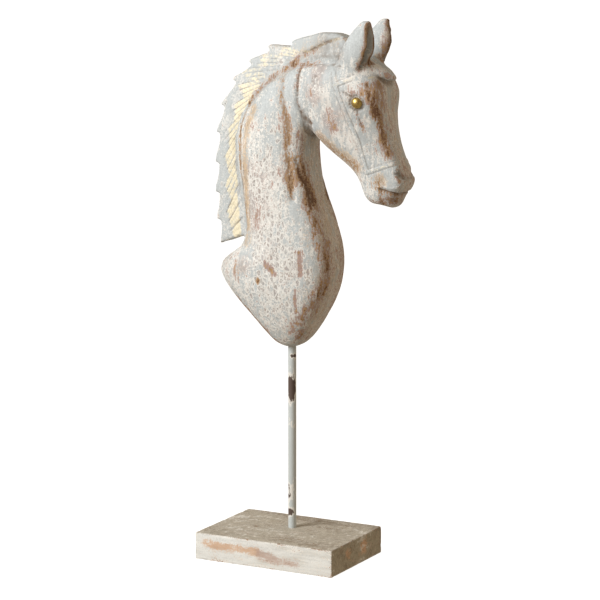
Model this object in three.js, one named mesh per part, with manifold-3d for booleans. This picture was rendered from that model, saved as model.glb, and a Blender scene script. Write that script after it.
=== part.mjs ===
// A carved wooden horse head and neck, held up by a steel rod on a wooden block.
// Millimetres, +Z up, +X the way the horse looks. The origin is the middle of the block's underside.

import * as THREE from "three";
import { mergeVertices } from "three/addons/utils/BufferGeometryUtils.js";
import Module from "manifold-3d";

const wasm = await Module();
wasm.setup();

// Block: a sawn board with its edges broken.
const BLOCK = { length: 150, width: 107, height: 26.6, corner: 1.2, edge: 0.8, cornerSteps: 2 };

// Rod: plain bar pushed into a blind hole in the block and another in the foot of the neck.
const ROD = { x: -1, y: 9.2, radius: 4, sides: 24, inBlock: 18, top: 252, clearance: 0.3, endGap: 0.5 };

// The horse has its own frame: x forward of the rod's axis, y to its left, z up from the floor.
// Neck sections, from the foot to the crest: height, back, front, half width.
const NECK_STATIONS = [
  [208.5, -8, 5, 8],
  [211, -15, 13, 15],
  [221, -26, 21.5, 21.5],
  [234, -39, 30, 27],
  [252, -57.5, 40, 31.5],
  [267, -71, 46.5, 33.5],
  [279, -77.5, 49, 34],
  [288, -76.5, 50, 34],
  [297, -65, 50, 34],
  [305, -53, 49, 34],
  [315, -49, 46.5, 33.5],
  [335, -49, 40.5, 32.5],
  [357, -52, 31.5, 31.5],
  [380, -56.5, 25.5, 30.5],
  [404, -59, 23, 29.5],
  [426, -55.5, 27, 28.5],
  [446, -44, 39, 27],
  [466, -24, 52, 24.5],
  [481, 2, 60, 21],
  [490, 28, 66, 16],
  [495, 44, 62, 8],
];
const NECK_SHAPE = { roundFront: 4.2, roundBack: 2.6, middle: 0.55, taperFront: 0.9, taperBack: 0.72 };
const NECK_SIDES = 32;
const NECK_RINGS = 27;

// Head sections, from the chin to the poll: height, jaw, face, and half widths at the face, cheek and jaw.
const HEAD_STATIONS = [
  [353.5, 90, 103, 8, 10, 8],
  [355.5, 85, 108, 12, 14, 11.5],
  [360, 81.5, 115, 15.5, 16.5, 13],
  [367, 78.5, 122.5, 18, 17.8, 13.5],
  [375, 75.5, 126.5, 19.5, 18.5, 13.5],
  [382, 71, 125, 20, 19, 13.5],
  [389, 63.5, 122, 19.5, 19.5, 13.5],
  [396, 53, 118.5, 18, 20.5, 13.5],
  [404, 42, 115.5, 17, 22.5, 14.5],
  [414, 31, 112.5, 17, 25, 16.5],
  [425, 22, 109.5, 19, 27.5, 19],
  [437, 16.5, 107, 23.5, 29.5, 22],
  [447, 15, 105.5, 29, 31, 23],
  [459, 15, 106, 34, 32, 24],
  [470, 18, 102.3, 28, 31, 24],
  [480, 26, 95, 22, 28, 21],
  [488, 40, 91, 17, 20, 14],
  [492, 56, 84, 8, 12, 8],
];
const HEAD_SHAPE = { roundFront: 6, roundBack: 3.6, middle: 0.45 };
const HEAD_SIDES = 32;
const HEAD_RINGS = 28;

// Lower lip: a round knob under the front of the mouth. The mouth is a wedge cut back to its corner.
const LIP = { x: 108.5, z: 359.5, length: 11, half: 13, height: 10, sides: 14 };
const MOUTH = { cornerX: 101, cornerZ: 368.5, frontX: 135, frontZ: 362, open: 1.6 };
const NOSTRIL = { x: 123.5, y: 14, z: 384, length: 6, half: 4.5, height: 2.4, slope: 1.05, sides: 12 };

// Ear sections: height, middle forward, middle sideways, half depth, half width.
const EAR_STATIONS = [
  [462, 71, 16, 9, 6],
  [473, 72.5, 18, 12.5, 9],
  [487, 75.5, 19.3, 15.5, 9.7],
  [496, 79.4, 20, 16.8, 9.4],
  [504, 82.4, 20.3, 16.2, 8.5],
  [511, 84.6, 20.4, 13.4, 7.5],
  [518, 86.5, 20.3, 9.8, 6.1],
  [524, 88.6, 20.1, 5.8, 4.2],
  [527, 89.4, 20, 2.6, 2],
];
const EAR_SIDES = 12;
const EAR_HOLLOW = { from: 1.3, to: 7.2, steps: 6, depth: 0.6, width: 0.58, forward: 0.66, outward: 0.1 };

// Forelock: a tuft that hangs over the forehead. Sections: forward, height, half width, half thickness.
const FORELOCK_STATIONS = [
  [66, 483, 10, 5],
  [80, 485, 15, 6.5],
  [92, 480, 18, 6.5],
  [101, 476, 13, 5.5],
  [107, 473.6, 7, 3.5],
  [110.8, 472.6, 1.5, 1.5],
];
const FORELOCK_SIDES = 10;

// Mane: the line where it leaves the neck, then the tips of its locks, both from the poll down.
const MANE_ROOT = [
  [58, 486], [22, 484], [0, 475], [-20, 464], [-37, 445], [-47, 425], [-46, 372], [-42, 318],
];
const MANE_TIPS = [
  [4, 506], [-23, 500.5], [-44, 485.5], [-62.5, 467.5], [-76, 442],
  [-81.5, 415], [-83, 386], [-83, 356.5], [-81.5, 329], [-77.5, 305],
];
const TOP_LOCK = [[66, 488], [63, 508], [50, 513], [32, 513.5], MANE_TIPS[0]];
const MANE = { strands: 3, steps: 3, lag: 36, notchIn: 5, notchOn: 6, rootHalf: 13.7, tipHalf: 6.5 };
const STRAND = { lockStep: 1.4, step: 1.3, tuck: 0.12, stagger: 0.03 };

// Bridle: flat straps standing a little proud of the head, each along a line of side view points.
const STRAP = { half: 1.9, proud: 0.8, reach: 60 };
const CHEEK_STRAP = [[57, 488], [63, 466], [71, 446], [82.5, 416], [90, 385.5]];
const BROW_BAND = [[62, 467], [80, 474.5], [90, 478]];
const NOSE_BAND = [[89.5, 385], [108.5, 392], [128, 398.5]];

// Boss: a small round button behind the cheek strap.
const BOSS = { x: 39, z: 471, radius: 3, proud: 1.2, sides: 10 };

// Eye: a domed brass stud at the bottom of a round socket.
const EYE = { x: 84.3, z: 451.4, sides: 12, gap: 0.3 };
const SOCKET = { rim: 6.5, floor: 6, depth: 2.8, over: 4 };
const STUD = { radius: 5.6, dome: 4.6, steps: 5 };

// Corners closer than this are one corner, and cut edges closer than this leave no sliver between them.
const MERGE = 1e-4;
const SLIVER = 0.05;

const flat = ([x, z]) => new THREE.Vector2(x, z);

// Uniform Catmull-Rom through the rows of a table, at a row number that need not be whole.
function rowAt(rows, t) {
  const i = Math.min(Math.floor(t), rows.length - 2);
  const f = t - i;
  const row = (k) => rows[Math.min(Math.max(k, 0), rows.length - 1)];
  return rows[i].map((_, c) => {
    const [a, b, d, e] = [row(i - 1)[c], row(i)[c], row(i + 1)[c], row(i + 2)[c]];
    return b + 0.5 * f * (d - a + f * (2 * a - 5 * b + 4 * d - e + f * (3 * (b - d) + e - a)));
  });
}

// Which end of a section a point belongs to, and how round that end is.
function endOf(part, shape, ahead) {
  const end = ahead ? part.front : part.back;
  const half = ahead ? part.frontHalf : part.backHalf;
  return { end, half, round: ahead ? shape.roundFront : shape.roundBack };
}

const middleOf = (part, shape) => part.back + shape.middle * (part.front - part.back);
const halfAt = (part, endHalf, reach) => part.middleHalf + (endHalf - part.middleHalf) * reach ** 2;

// One level section: a rounded box, flat in front and softer behind, whose half width changes along it.
function section(part, shape, sides) {
  const middle = middleOf(part, shape);
  const ring = [];
  for (let k = 0; k < sides; k++) {
    const angle = (2 * Math.PI * k) / sides;
    const [c, s] = [Math.cos(angle), Math.sin(angle)];
    const { end, half, round } = endOf(part, shape, c > 0);
    const radius = (Math.abs(c) ** round + Math.abs(s) ** round) ** (-1 / round);
    const reach = Math.abs(c) * radius;
    const x = middle + (end - middle) * reach;
    ring.push(new THREE.Vector3(x, s * radius * halfAt(part, half, reach), part.z));
  }
  return ring;
}

// A closed skin over rings of points, each anticlockwise seen from the end that the rings run to.
function loft(rings) {
  const count = rings[0].length;
  const points = rings.flat();
  const index = [];
  for (let r = 0; r + 1 < rings.length; r++) {
    for (let k = 0; k < count; k++) {
      const a = r * count + k;
      const b = r * count + ((k + 1) % count);
      index.push(a, b, b + count, a, b + count, a + count);
    }
  }
  const top = (rings.length - 1) * count;
  const centre = (ring) => ring.reduce((sum, p) => sum.add(p), new THREE.Vector3()).divideScalar(count);
  points.push(centre(rings[0]), centre(rings.at(-1)));
  for (let k = 0; k < count; k++) {
    const next = (k + 1) % count;
    index.push(points.length - 2, next, k, points.length - 1, top + k, top + next);
  }
  return new THREE.BufferGeometry().setFromPoints(points).setIndex(index);
}

// Closed geometry as a solid that can be joined and cut, and back again with its slivers closed up.
function solid(geometry) {
  const bare = new THREE.BufferGeometry().setAttribute("position", geometry.getAttribute("position"));
  if (geometry.index) bare.setIndex(geometry.index);
  const merged = mergeVertices(bare, MERGE);
  const vertProperties = new Float32Array(merged.attributes.position.array);
  const corners = merged.index.array;
  const kept = [];
  for (let i = 0; i < corners.length; i += 3) {
    const [a, b, c] = corners.slice(i, i + 3);
    if (a !== b && b !== c && c !== a) kept.push(a, b, c);
  }
  const triVerts = new Uint32Array(kept);
  return new wasm.Manifold(new wasm.Mesh({ numProp: 3, vertProperties, triVerts }));
}

function geometryOf(body) {
  const { vertProperties, triVerts } = body.simplify(SLIVER).getMesh();
  return new THREE.BufferGeometry()
    .setAttribute("position", new THREE.BufferAttribute(vertProperties, 3))
    .setIndex(new THREE.BufferAttribute(triVerts, 1));
}

const joined = (bodies) => bodies.reduce((sum, body) => sum.add(body));

function stack(stations, toPart, shape, sides, count) {
  const rings = [];
  for (let r = 0; r <= count; r++) {
    const row = rowAt(stations, (r / count) * (stations.length - 1));
    rings.push(section(toPart(row), shape, sides));
  }
  return solid(loft(rings));
}

function neckPart([z, back, front, half]) {
  const { taperFront, taperBack } = NECK_SHAPE;
  return { z, back, front, frontHalf: half * taperFront, middleHalf: half, backHalf: half * taperBack };
}

function headPart([z, back, front, ...halves], grow) {
  const [frontHalf, middleHalf, backHalf] = halves.map((half) => half + grow);
  return { z, back: back - grow, front: front + grow, frontHalf, middleHalf, backHalf };
}

const makeNeck = () => stack(NECK_STATIONS, neckPart, NECK_SHAPE, NECK_SIDES, NECK_RINGS);

function makeHead(grow) {
  return stack(HEAD_STATIONS, (row) => headPart(row, grow), HEAD_SHAPE, HEAD_SIDES, HEAD_RINGS);
}

// Half width of the head at a point of the side view.
function headHalfAt(x, z) {
  const above = HEAD_STATIONS.findIndex((row) => row[0] > z);
  const [low, high] = [HEAD_STATIONS[above - 1][0], HEAD_STATIONS[above][0]];
  const part = headPart(rowAt(HEAD_STATIONS, above - 1 + (z - low) / (high - low)), 0);
  const middle = middleOf(part, HEAD_SHAPE);
  const { end, half, round } = endOf(part, HEAD_SHAPE, x > middle);
  const reach = (x - middle) / (end - middle);
  return halfAt(part, half, reach) * (1 - reach ** round) ** (1 / round);
}

function ellipsoid(length, half, height, sides) {
  return new THREE.SphereGeometry(1, sides, Math.round(sides * 0.6)).scale(length, half, height);
}

// A prism across the head, standing on an outline drawn in the side view.
function across(outline, half) {
  const shape = new THREE.Shape(outline.map(flat));
  const prism = new THREE.ExtrudeGeometry(shape, { depth: 2 * half, bevelEnabled: false });
  return prism.translate(0, 0, -half).rotateX(Math.PI / 2);
}

function makeLip() {
  return solid(ellipsoid(LIP.length, LIP.half, LIP.height, LIP.sides).translate(LIP.x, 0, LIP.z));
}

function makeMouth() {
  const { cornerX, cornerZ, frontX, frontZ, open } = MOUTH;
  const wedge = [[cornerX, cornerZ], [frontX, frontZ - open], [frontX, frontZ + open]];
  return solid(across(wedge, LIP.half * 2));
}

function makeNostril(side) {
  const { length, half, height, sides, slope } = NOSTRIL;
  const hollow = ellipsoid(length, half, height, sides).rotateY(slope);
  return solid(hollow.translate(NOSTRIL.x, side * NOSTRIL.y, NOSTRIL.z));
}

function makeBoss(side) {
  const button = ellipsoid(BOSS.radius, BOSS.proud, BOSS.radius, BOSS.sides);
  return solid(button.translate(BOSS.x, side * headHalfAt(BOSS.x, BOSS.z), BOSS.z));
}

// A level ring round an ear's middle line, with its size and place given as shares of the ear's.
function earRing([z, x, y, halfDepth, halfWidth], side, { depth, width, forward, outward }) {
  const ring = [];
  for (let k = 0; k < EAR_SIDES; k++) {
    const angle = (2 * Math.PI * k) / EAR_SIDES;
    const px = x + halfDepth * (forward + depth * Math.cos(angle));
    const py = side * (y + halfWidth * outward) + halfWidth * width * Math.sin(angle);
    ring.push(new THREE.Vector3(px, py, z));
  }
  return ring;
}

function makeEar(side) {
  const whole = { depth: 1, width: 1, forward: 0, outward: 0 };
  const shell = EAR_STATIONS.map((row) => earRing(row, side, whole));
  const { from, to, steps } = EAR_HOLLOW;
  const hollow = [];
  for (let r = 0; r <= steps; r++) {
    hollow.push(earRing(rowAt(EAR_STATIONS, from + ((to - from) * r) / steps), side, EAR_HOLLOW));
  }
  return solid(loft(shell)).subtract(solid(loft(hollow)));
}

// A ring of the forelock stands square to the way the tuft runs.
function forelockRing([x, z, half, thick], i, rows) {
  const [before, after] = [rows[Math.max(i - 1, 0)], rows[Math.min(i + 1, rows.length - 1)]];
  const on = new THREE.Vector2(after[0] - before[0], after[1] - before[1]).normalize();
  const ring = [];
  for (let k = 0; k < FORELOCK_SIDES; k++) {
    const angle = (2 * Math.PI * k) / FORELOCK_SIDES;
    const rise = thick * Math.sin(angle);
    ring.push(new THREE.Vector3(x - rise * on.y, half * Math.cos(angle), z + rise * on.x));
  }
  return ring;
}

const makeForelock = () => solid(loft(FORELOCK_STATIONS.map(forelockRing)));

// Lines of hair in the side view. Each runs from its root to the notch above it, then on to its tip.
function hairLines() {
  const root = new THREE.SplineCurve(MANE_ROOT.map(flat));
  const tips = MANE_TIPS.map(flat);
  const count = tips.length;
  const lines = [new THREE.SplineCurve(TOP_LOCK.map(flat)).getPoints(MANE.steps + 1)];
  for (let i = 1; i <= count; i++) {
    const last = i === count;
    const on = tips[Math.min(i, count - 1)].clone().sub(tips[Math.min(i, count - 1) - 1]).normalize();
    const inward = new THREE.Vector2(-on.y, on.x);
    const notch = tips[i - 1].clone().addScaledVector(on, last ? 0 : MANE.notchOn);
    notch.addScaledVector(inward, MANE.notchIn);
    const start = root.getPointAt(last ? 1 : Math.max(0.04, i / count - MANE.lag / root.getLength()));
    const line = [];
    for (let m = 0; m <= MANE.steps; m++) line.push(start.clone().lerp(notch, m / MANE.steps));
    line.push(last ? notch : tips[i]);
    lines.push(line);
  }
  return lines;
}

// One strand: a blade between two shares of the way from a lock's upper line to its lower line.
// Each strand of a lock stops a little short of the one above it.
function makeStrand(upper, lower, j) {
  const count = upper.length - 1;
  const [from, to] = [(j - STRAND.tuck) / MANE.strands, (j + 1) / MANE.strands];
  const lowerAt = (m) => lower[0].clone().lerp(lower[count - 1], m / count);
  const reach = 1 - j * STRAND.stagger;
  const rings = upper.map((_, m) => {
    const t = m * reach;
    const k = Math.min(Math.floor(t), count - 1);
    const high = upper[k].clone().lerp(upper[k + 1], t - k);
    const [a, b] = [from, to].map((share) => high.clone().lerp(lowerAt(t), share));
    const half = MANE.rootHalf + ((MANE.tipHalf - MANE.rootHalf) * t) / count;
    const thin = half + STRAND.lockStep * (from - 0.5) - STRAND.step;
    const thick = half + STRAND.lockStep * (to - 0.5);
    return [[a, -thin], [a, thin], [b, thick], [b, -thick]].map(([p, y]) => new THREE.Vector3(p.x, y, p.y));
  });
  return solid(loft(rings));
}

function makeMane() {
  const lines = hairLines();
  const strands = [...Array(MANE.strands).keys()];
  const locks = lines.slice(1).map((lower, i) => strands.map((j) => makeStrand(lines[i], lower, j)));
  return joined(locks.flat());
}

// A band of even width along a line of side view points.
function band(points) {
  const line = points.map(flat);
  const edge = (sign) => line.map((p, i) => {
    const on = line[Math.min(i + 1, line.length - 1)].clone().sub(line[Math.max(i - 1, 0)]).normalize();
    return [p.x - sign * STRAP.half * on.y, p.y + sign * STRAP.half * on.x];
  });
  return solid(across([...edge(-1), ...edge(1).reverse()], STRAP.reach));
}

function makeBridle() {
  return makeHead(STRAP.proud).intersect(joined([CHEEK_STRAP, BROW_BAND, NOSE_BAND].map(band)));
}

// A turned shape with its axis pointing out of the cheek and its zero height at the cheek's surface.
function onCheek(profile, side) {
  const turned = new THREE.LatheGeometry(profile.map(flat), EYE.sides);
  return turned.rotateZ(side > 0 ? 0 : Math.PI).translate(EYE.x, side * headHalfAt(EYE.x, EYE.z), EYE.z);
}

function makeSocket(side) {
  const { rim, floor, depth, over } = SOCKET;
  return solid(onCheek([[0, -depth], [floor, -depth], [rim, 0], [rim + over, over], [0, over]], side));
}

function makeStud(side) {
  const seat = EYE.gap - SOCKET.depth;
  const profile = [[0, seat]];
  for (let k = 0; k < STUD.steps; k++) {
    const angle = ((k / STUD.steps) * Math.PI) / 2;
    profile.push([STUD.radius * Math.cos(angle), seat + STUD.dome * Math.sin(angle)]);
  }
  profile.push([0, seat + STUD.dome]);
  return onCheek(profile, side);
}

function makeHorse() {
  const sides = [-1, 1];
  const body = joined([
    makeNeck(), makeHead(0), makeLip(), makeForelock(), makeMane(), makeBridle(),
    ...sides.map(makeEar), ...sides.map(makeBoss),
  ]);
  return body.subtract(joined([makeMouth(), ...sides.map(makeNostril), ...sides.map(makeSocket)]));
}

function uprightBar(radius, from, to) {
  const bar = new THREE.CylinderGeometry(radius, radius, to - from, ROD.sides);
  return bar.rotateX(Math.PI / 2).translate(0, 0, (from + to) / 2);
}

function makeBlock() {
  const { length, width, height, corner, edge, cornerSteps } = BLOCK;
  const [x, y] = [length / 2 - edge - corner, width / 2 - edge - corner];
  const shape = new THREE.Shape();
  shape.absarc(x, -y, corner, -Math.PI / 2, 0);
  shape.absarc(x, y, corner, 0, Math.PI / 2);
  shape.absarc(-x, y, corner, Math.PI / 2, Math.PI);
  shape.absarc(-x, -y, corner, Math.PI, 1.5 * Math.PI);
  const board = new THREE.ExtrudeGeometry(shape, {
    depth: height - 2 * edge, curveSegments: cornerSteps,
    bevelThickness: edge, bevelSize: edge, bevelSegments: 1,
  });
  const hole = uprightBar(ROD.radius + ROD.clearance, height - ROD.inBlock - ROD.endGap, height + edge);
  return solid(board.translate(0, 0, edge)).subtract(solid(hole.translate(ROD.x, ROD.y, 0)));
}

function node(name, geometry, color, roughness, metalness) {
  const mesh = new THREE.Mesh(geometry, new THREE.MeshStandardMaterial({ color, roughness, metalness }));
  mesh.name = name;
  return mesh;
}

const sculpture = new THREE.Group();
const horse = new THREE.Group();
horse.position.set(ROD.x, ROD.y, 0);
sculpture.add(horse);

const rodHole = uprightBar(ROD.radius + ROD.clearance, 0, ROD.top + ROD.endGap);
horse.add(node("horse_carving", geometryOf(makeHorse().subtract(solid(rodHole))), 0xc9c3b8, 0.85, 0));
horse.add(node("eye_stud_right", makeStud(-1), 0xc9a64a, 0.3, 0.9));
horse.add(node("eye_stud_left", makeStud(1), 0xc9a64a, 0.3, 0.9));
horse.add(node("rod", uprightBar(ROD.radius, BLOCK.height - ROD.inBlock, ROD.top), 0xa9adb0, 0.45, 0.7));
sculpture.add(node("block", geometryOf(makeBlock()), 0xb8aea0, 0.85, 0));

export default sculpture;
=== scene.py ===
# %% [markdown]
# # A carved horse's head on a rod
# The object is the head and neck of a horse, carved in wood, painted in thin coats that have
# worn through to each other, and held on a steel rod in a painted block. Two brass studs are
# its eyes. This lesson dresses the plain solids: it keeps their form, adds the fine carving,
# and gives every piece a finish made from textures that are worked out, not photographed.

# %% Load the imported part
import math

import bmesh
import bpy
import numpy as np
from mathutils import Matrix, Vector


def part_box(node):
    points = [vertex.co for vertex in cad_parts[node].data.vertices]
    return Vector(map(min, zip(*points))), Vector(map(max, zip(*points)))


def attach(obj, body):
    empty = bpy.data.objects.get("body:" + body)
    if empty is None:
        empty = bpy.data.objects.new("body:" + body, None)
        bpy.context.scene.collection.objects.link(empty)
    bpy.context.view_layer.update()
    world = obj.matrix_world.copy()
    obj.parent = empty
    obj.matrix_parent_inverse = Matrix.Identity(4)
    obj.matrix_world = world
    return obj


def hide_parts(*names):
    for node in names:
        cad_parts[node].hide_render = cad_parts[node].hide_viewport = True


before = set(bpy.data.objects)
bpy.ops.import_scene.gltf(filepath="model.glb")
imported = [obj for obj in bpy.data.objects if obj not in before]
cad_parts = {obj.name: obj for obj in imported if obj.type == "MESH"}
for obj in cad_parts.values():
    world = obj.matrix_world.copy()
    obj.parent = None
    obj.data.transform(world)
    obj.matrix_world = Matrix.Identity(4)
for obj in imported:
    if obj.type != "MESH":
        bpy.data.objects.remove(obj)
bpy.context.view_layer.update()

scene = bpy.context.scene
MM = 0.001
print("solids in the frame:", sorted(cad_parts))

# %% [markdown]
# ## The camera
# The picture was taken from a little above, turned towards the horse's face, from far enough
# away that the block's edges hardly converge. A long lens at 2.5 m gives the same view, and the
# target sits a little to the right of the middle, because the picture is framed that way.

# %% Stand the camera where the photographer stood
VIEW_AZIMUTH = math.radians(28.14)
VIEW_ELEVATION = math.radians(9.604)
VIEW_DISTANCE = 2.5
TARGET_RIGHT = 11.018 * MM
TARGET_UP = 255.03 * MM
LENS = 154.95


def direction(azimuth, elevation):
    """The way from the object to someone who stands at this azimuth and elevation."""
    level = math.cos(elevation)
    return Vector((math.sin(azimuth) * level, -math.cos(azimuth) * level, math.sin(elevation)))


to_right = Vector((math.cos(VIEW_AZIMUTH), math.sin(VIEW_AZIMUTH), 0))
to_camera = direction(VIEW_AZIMUTH, VIEW_ELEVATION)
target = to_right * TARGET_RIGHT + Vector((0, 0, TARGET_UP))
camera = bpy.data.objects.new("camera", bpy.data.cameras.new("camera"))
camera.data.lens = LENS
camera.location = target + to_camera * VIEW_DISTANCE
camera.rotation_euler = to_camera.to_track_quat("Z", "Y").to_euler()
scene.collection.objects.link(camera)
scene.camera = camera
print("camera at", [round(v, 3) for v in camera.location])

# %% [markdown]
# ## A tool for drawing node trees
# Materials and Geometry Nodes are both trees of nodes. Adding each node and link by hand makes
# long scripts, so one small class stands for an output socket and turns ordinary arithmetic into
# Math nodes. Every other node comes from one method, which sets the node's choices first and then
# its sockets. The same two classes serve both kinds of tree.

# %% Sockets that can be added and multiplied
class Wire:
    """One output of a node. Arithmetic on it adds Math nodes."""

    def __init__(self, graph, socket):
        self.graph = graph
        self.socket = socket

    def out(self, name):
        return Wire(self.graph, self.socket.node.outputs[name])

    def __add__(self, other):
        return self.graph.math("ADD", self, other)

    def __radd__(self, other):
        return self.graph.math("ADD", other, self)

    def __sub__(self, other):
        return self.graph.math("SUBTRACT", self, other)

    def __rsub__(self, other):
        return self.graph.math("SUBTRACT", other, self)

    def __mul__(self, other):
        return self.graph.math("MULTIPLY", self, other)

    def __rmul__(self, other):
        return self.graph.math("MULTIPLY", other, self)

    def __truediv__(self, other):
        return self.graph.math("DIVIDE", self, other)

    def __rtruediv__(self, other):
        return self.graph.math("DIVIDE", other, self)


class Graph:
    """A node tree that is being drawn."""

    def __init__(self, tree):
        self.tree = tree

    def node(self, kind, settings=None, sockets=None, output=0):
        made = self.tree.nodes.new(kind)
        for name, value in (settings or {}).items():
            setattr(made, name, value)
        for name, value in (sockets or {}).items():
            if isinstance(value, Wire):
                self.tree.links.new(value.socket, made.inputs[name])
            else:
                made.inputs[name].default_value = value
        return Wire(self, made.outputs[output]) if made.outputs else made

    def math(self, operation, *values):
        return self.node("ShaderNodeMath", {"operation": operation}, dict(enumerate(values)))

    def vector(self, operation, *values):
        return self.node("ShaderNodeVectorMath", {"operation": operation}, dict(enumerate(values)))

    def scaled(self, vector, factor):
        """A vector made longer or shorter, or a colour made lighter or darker."""
        return self.node("ShaderNodeVectorMath", {"operation": "SCALE"}, {"Vector": vector, "Scale": factor})

    def step(self, value, low, high):
        """0 up to low and 1 from high on, with a soft slope between."""
        settings = {"interpolation_type": "SMOOTHSTEP"}
        return self.node("ShaderNodeMapRange", settings, {"Value": value, "From Min": low, "From Max": high})

    def noise(self, place, scale, detail=4, roughness=0.55):
        sockets = {"Vector": place, "Scale": scale, "Detail": detail, "Roughness": roughness}
        return self.node("ShaderNodeTexNoise", {"noise_dimensions": "3D"}, sockets)

    def ripple(self, place, *texture):
        """Noise that rises and falls about 0."""
        return self.noise(place, *texture) - 0.5

    def cells(self, place, scale, feature="F1"):
        return self.node("ShaderNodeTexVoronoi", {"feature": feature}, {"Vector": place, "Scale": scale})

    def blend(self, share, first, second):
        """A colour that goes from the first to the second as the share goes from 0 to 1."""
        return self.node("ShaderNodeMix", {"data_type": "RGBA"}, {0: share, 6: first, 7: second}, output=2)

    def place(self):
        """Where a point lies on its own piece."""
        return self.node("ShaderNodeTexCoord", output="Object")

    def kept(self, name):
        """The map that a mesh keeps under this name."""
        return self.node("ShaderNodeAttribute", {"attribute_name": name}, output="Fac")

    def stretched(self, place, scale):
        return self.node("ShaderNodeMapping", None, {"Vector": place, "Scale": scale})

    def bump(self, height, distance, strength):
        sockets = {"Height": height, "Distance": distance, "Strength": strength}
        return self.node("ShaderNodeBump", None, sockets)


def colour(code):
    """A colour written as #RRGGBB, as the linear values that shaders use."""
    parts = [int(code[i:i + 2], 16) / 255 for i in (1, 3, 5)]
    linear = [p / 12.92 if p <= 0.04045 else ((p + 0.055) / 1.055) ** 2.4 for p in parts]
    return (*linear, 1.0)


print("mid grey is %.3f in linear light" % colour("#808080")[0])

# %% [markdown]
# ## Light
# The piece was lit by one broad lamp from the left and above, so what faces right falls into a
# warm half shade. A large area lamp, a far weaker one behind on the right and a dim warm world
# give the same.

# %% Light the stage
KEY_AZIMUTH = math.radians(-31)
KEY_ELEVATION = math.radians(29)
KEY_POWER = 43
FILL_AZIMUTH = math.radians(140)
FILL_ELEVATION = math.radians(15)
FILL_POWER = 5
FILL_COLOUR = colour("#FFEBD2")
LAMP_DISTANCE = 2.0
LAMP_SIZE = 0.9
WORLD_COLOUR = colour("#FFE9CE")
WORLD_STRENGTH = 0.38

scene.view_settings.view_transform = "Standard"
scene.world = bpy.data.worlds.new("studio")
scene.world.use_nodes = True
backdrop = scene.world.node_tree.nodes["Background"]
backdrop.inputs["Color"].default_value = WORLD_COLOUR
backdrop.inputs["Strength"].default_value = WORLD_STRENGTH


def add_lamp(name, way, power):
    """A square lamp that faces the target from a given side."""
    lamp = bpy.data.objects.new(name, bpy.data.lights.new(name, "AREA"))
    lamp.data.size = LAMP_SIZE
    lamp.data.energy = power
    lamp.location = target + way * LAMP_DISTANCE
    lamp.rotation_euler = way.to_track_quat("Z", "Y").to_euler()
    scene.collection.objects.link(lamp)
    return lamp


add_lamp("key_lamp", direction(KEY_AZIMUTH, KEY_ELEVATION), KEY_POWER)
fill = add_lamp("fill_lamp", direction(FILL_AZIMUTH, FILL_ELEVATION), FILL_POWER)
fill.data.color = FILL_COLOUR[:3]
print("lamps of", KEY_POWER, "and", FILL_POWER, "W")

# %% [markdown]
# ## Floor
# The picture's ground is plain white. A wide square that glows stays near white all the way to the
# horizon. It is hidden from the light that bounces about, so it doesn't light the horse from below,
# and a faint shadow of the horse still falls on it.

# %% Lay the floor
FLOOR_SIZE = 80
FLOOR_COLOUR = colour("#908E8B")
FLOOR_GLOW = 0.97
FLOOR_GLOW_COLOUR = colour("#FFFFFF")
FLOOR_GRAIN = 3
FLOOR_MOTTLE = 0.03
FLOOR_ROUGHNESS = 0.9


def finish_named(name):
    """A new material, as an empty graph and the shader that ends it."""
    material = bpy.data.materials.new(name)
    material.use_nodes = True
    graph = Graph(material.node_tree)
    return material, graph, material.node_tree.nodes["Principled BSDF"]


def set_shader(graph, shader, values):
    for name, value in values.items():
        if isinstance(value, Wire):
            graph.tree.links.new(value.socket, shader.inputs[name])
        else:
            shader.inputs[name].default_value = value


def floor_finish():
    material, graph, shader = finish_named("floor_paper")
    mottle = 1 + FLOOR_MOTTLE * graph.ripple(graph.place(), FLOOR_GRAIN)
    set_shader(graph, shader, {
        "Base Color": graph.scaled(FLOOR_COLOUR[:3], mottle), "Roughness": FLOOR_ROUGHNESS,
        "Emission Color": FLOOR_GLOW_COLOUR, "Emission Strength": FLOOR_GLOW,
    })
    return material


def plain_object(name, mesh):
    made = bpy.data.objects.new(name, mesh)
    scene.collection.objects.link(made)
    return made


floor_half = FLOOR_SIZE / 2
floor_mesh = bpy.data.meshes.new("floor")
floor_signs = [(-1, -1), (1, -1), (1, 1), (-1, 1)]
floor_mesh.from_pydata([(x * floor_half, y * floor_half, 0) for x, y in floor_signs], [], [(0, 1, 2, 3)])
floor_mesh.materials.append(floor_finish())
floor = plain_object("floor", floor_mesh)
floor.visible_diffuse = False
floor.visible_glossy = False
print("floor of", FLOOR_SIZE, "m")

# %% [markdown]
# ## Measures on the skin
# Everything carved or painted by hand is placed in the side view, in millimetres: x forward of
# the rod's axis and z up from the floor. Both sides of the horse are alike, so a line drawn once
# serves both. These helpers give each point of the skin its distance from such a line.

# %% Lines and spots in the side view
rod_low, rod_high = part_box("rod")
rod_axis = np.array([(rod_low[0] + rod_high[0]) / 2, (rod_low[1] + rod_high[1]) / 2, 0])
rod_radius = (rod_high[0] - rod_low[0]) / 2


def skin_points(mesh):
    """The points of a mesh, in millimetres from the foot of the rod's axis."""
    points = np.empty(len(mesh.vertices) * 3)
    mesh.vertices.foreach_get("co", points)
    return (points.reshape(-1, 3) - rod_axis) / MM


def skin_normals(mesh):
    normals = np.empty(len(mesh.vertices) * 3)
    mesh.vertices.foreach_get("normal", normals)
    return normals.reshape(-1, 3)


def skin_edges(mesh):
    edges = np.empty(len(mesh.edges) * 2, int)
    mesh.edges.foreach_get("vertices", edges)
    return edges.reshape(-1, 2)


def move_points(mesh, points):
    mesh.vertices.foreach_set("co", (points * MM + rod_axis).ravel())
    mesh.update()


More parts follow.
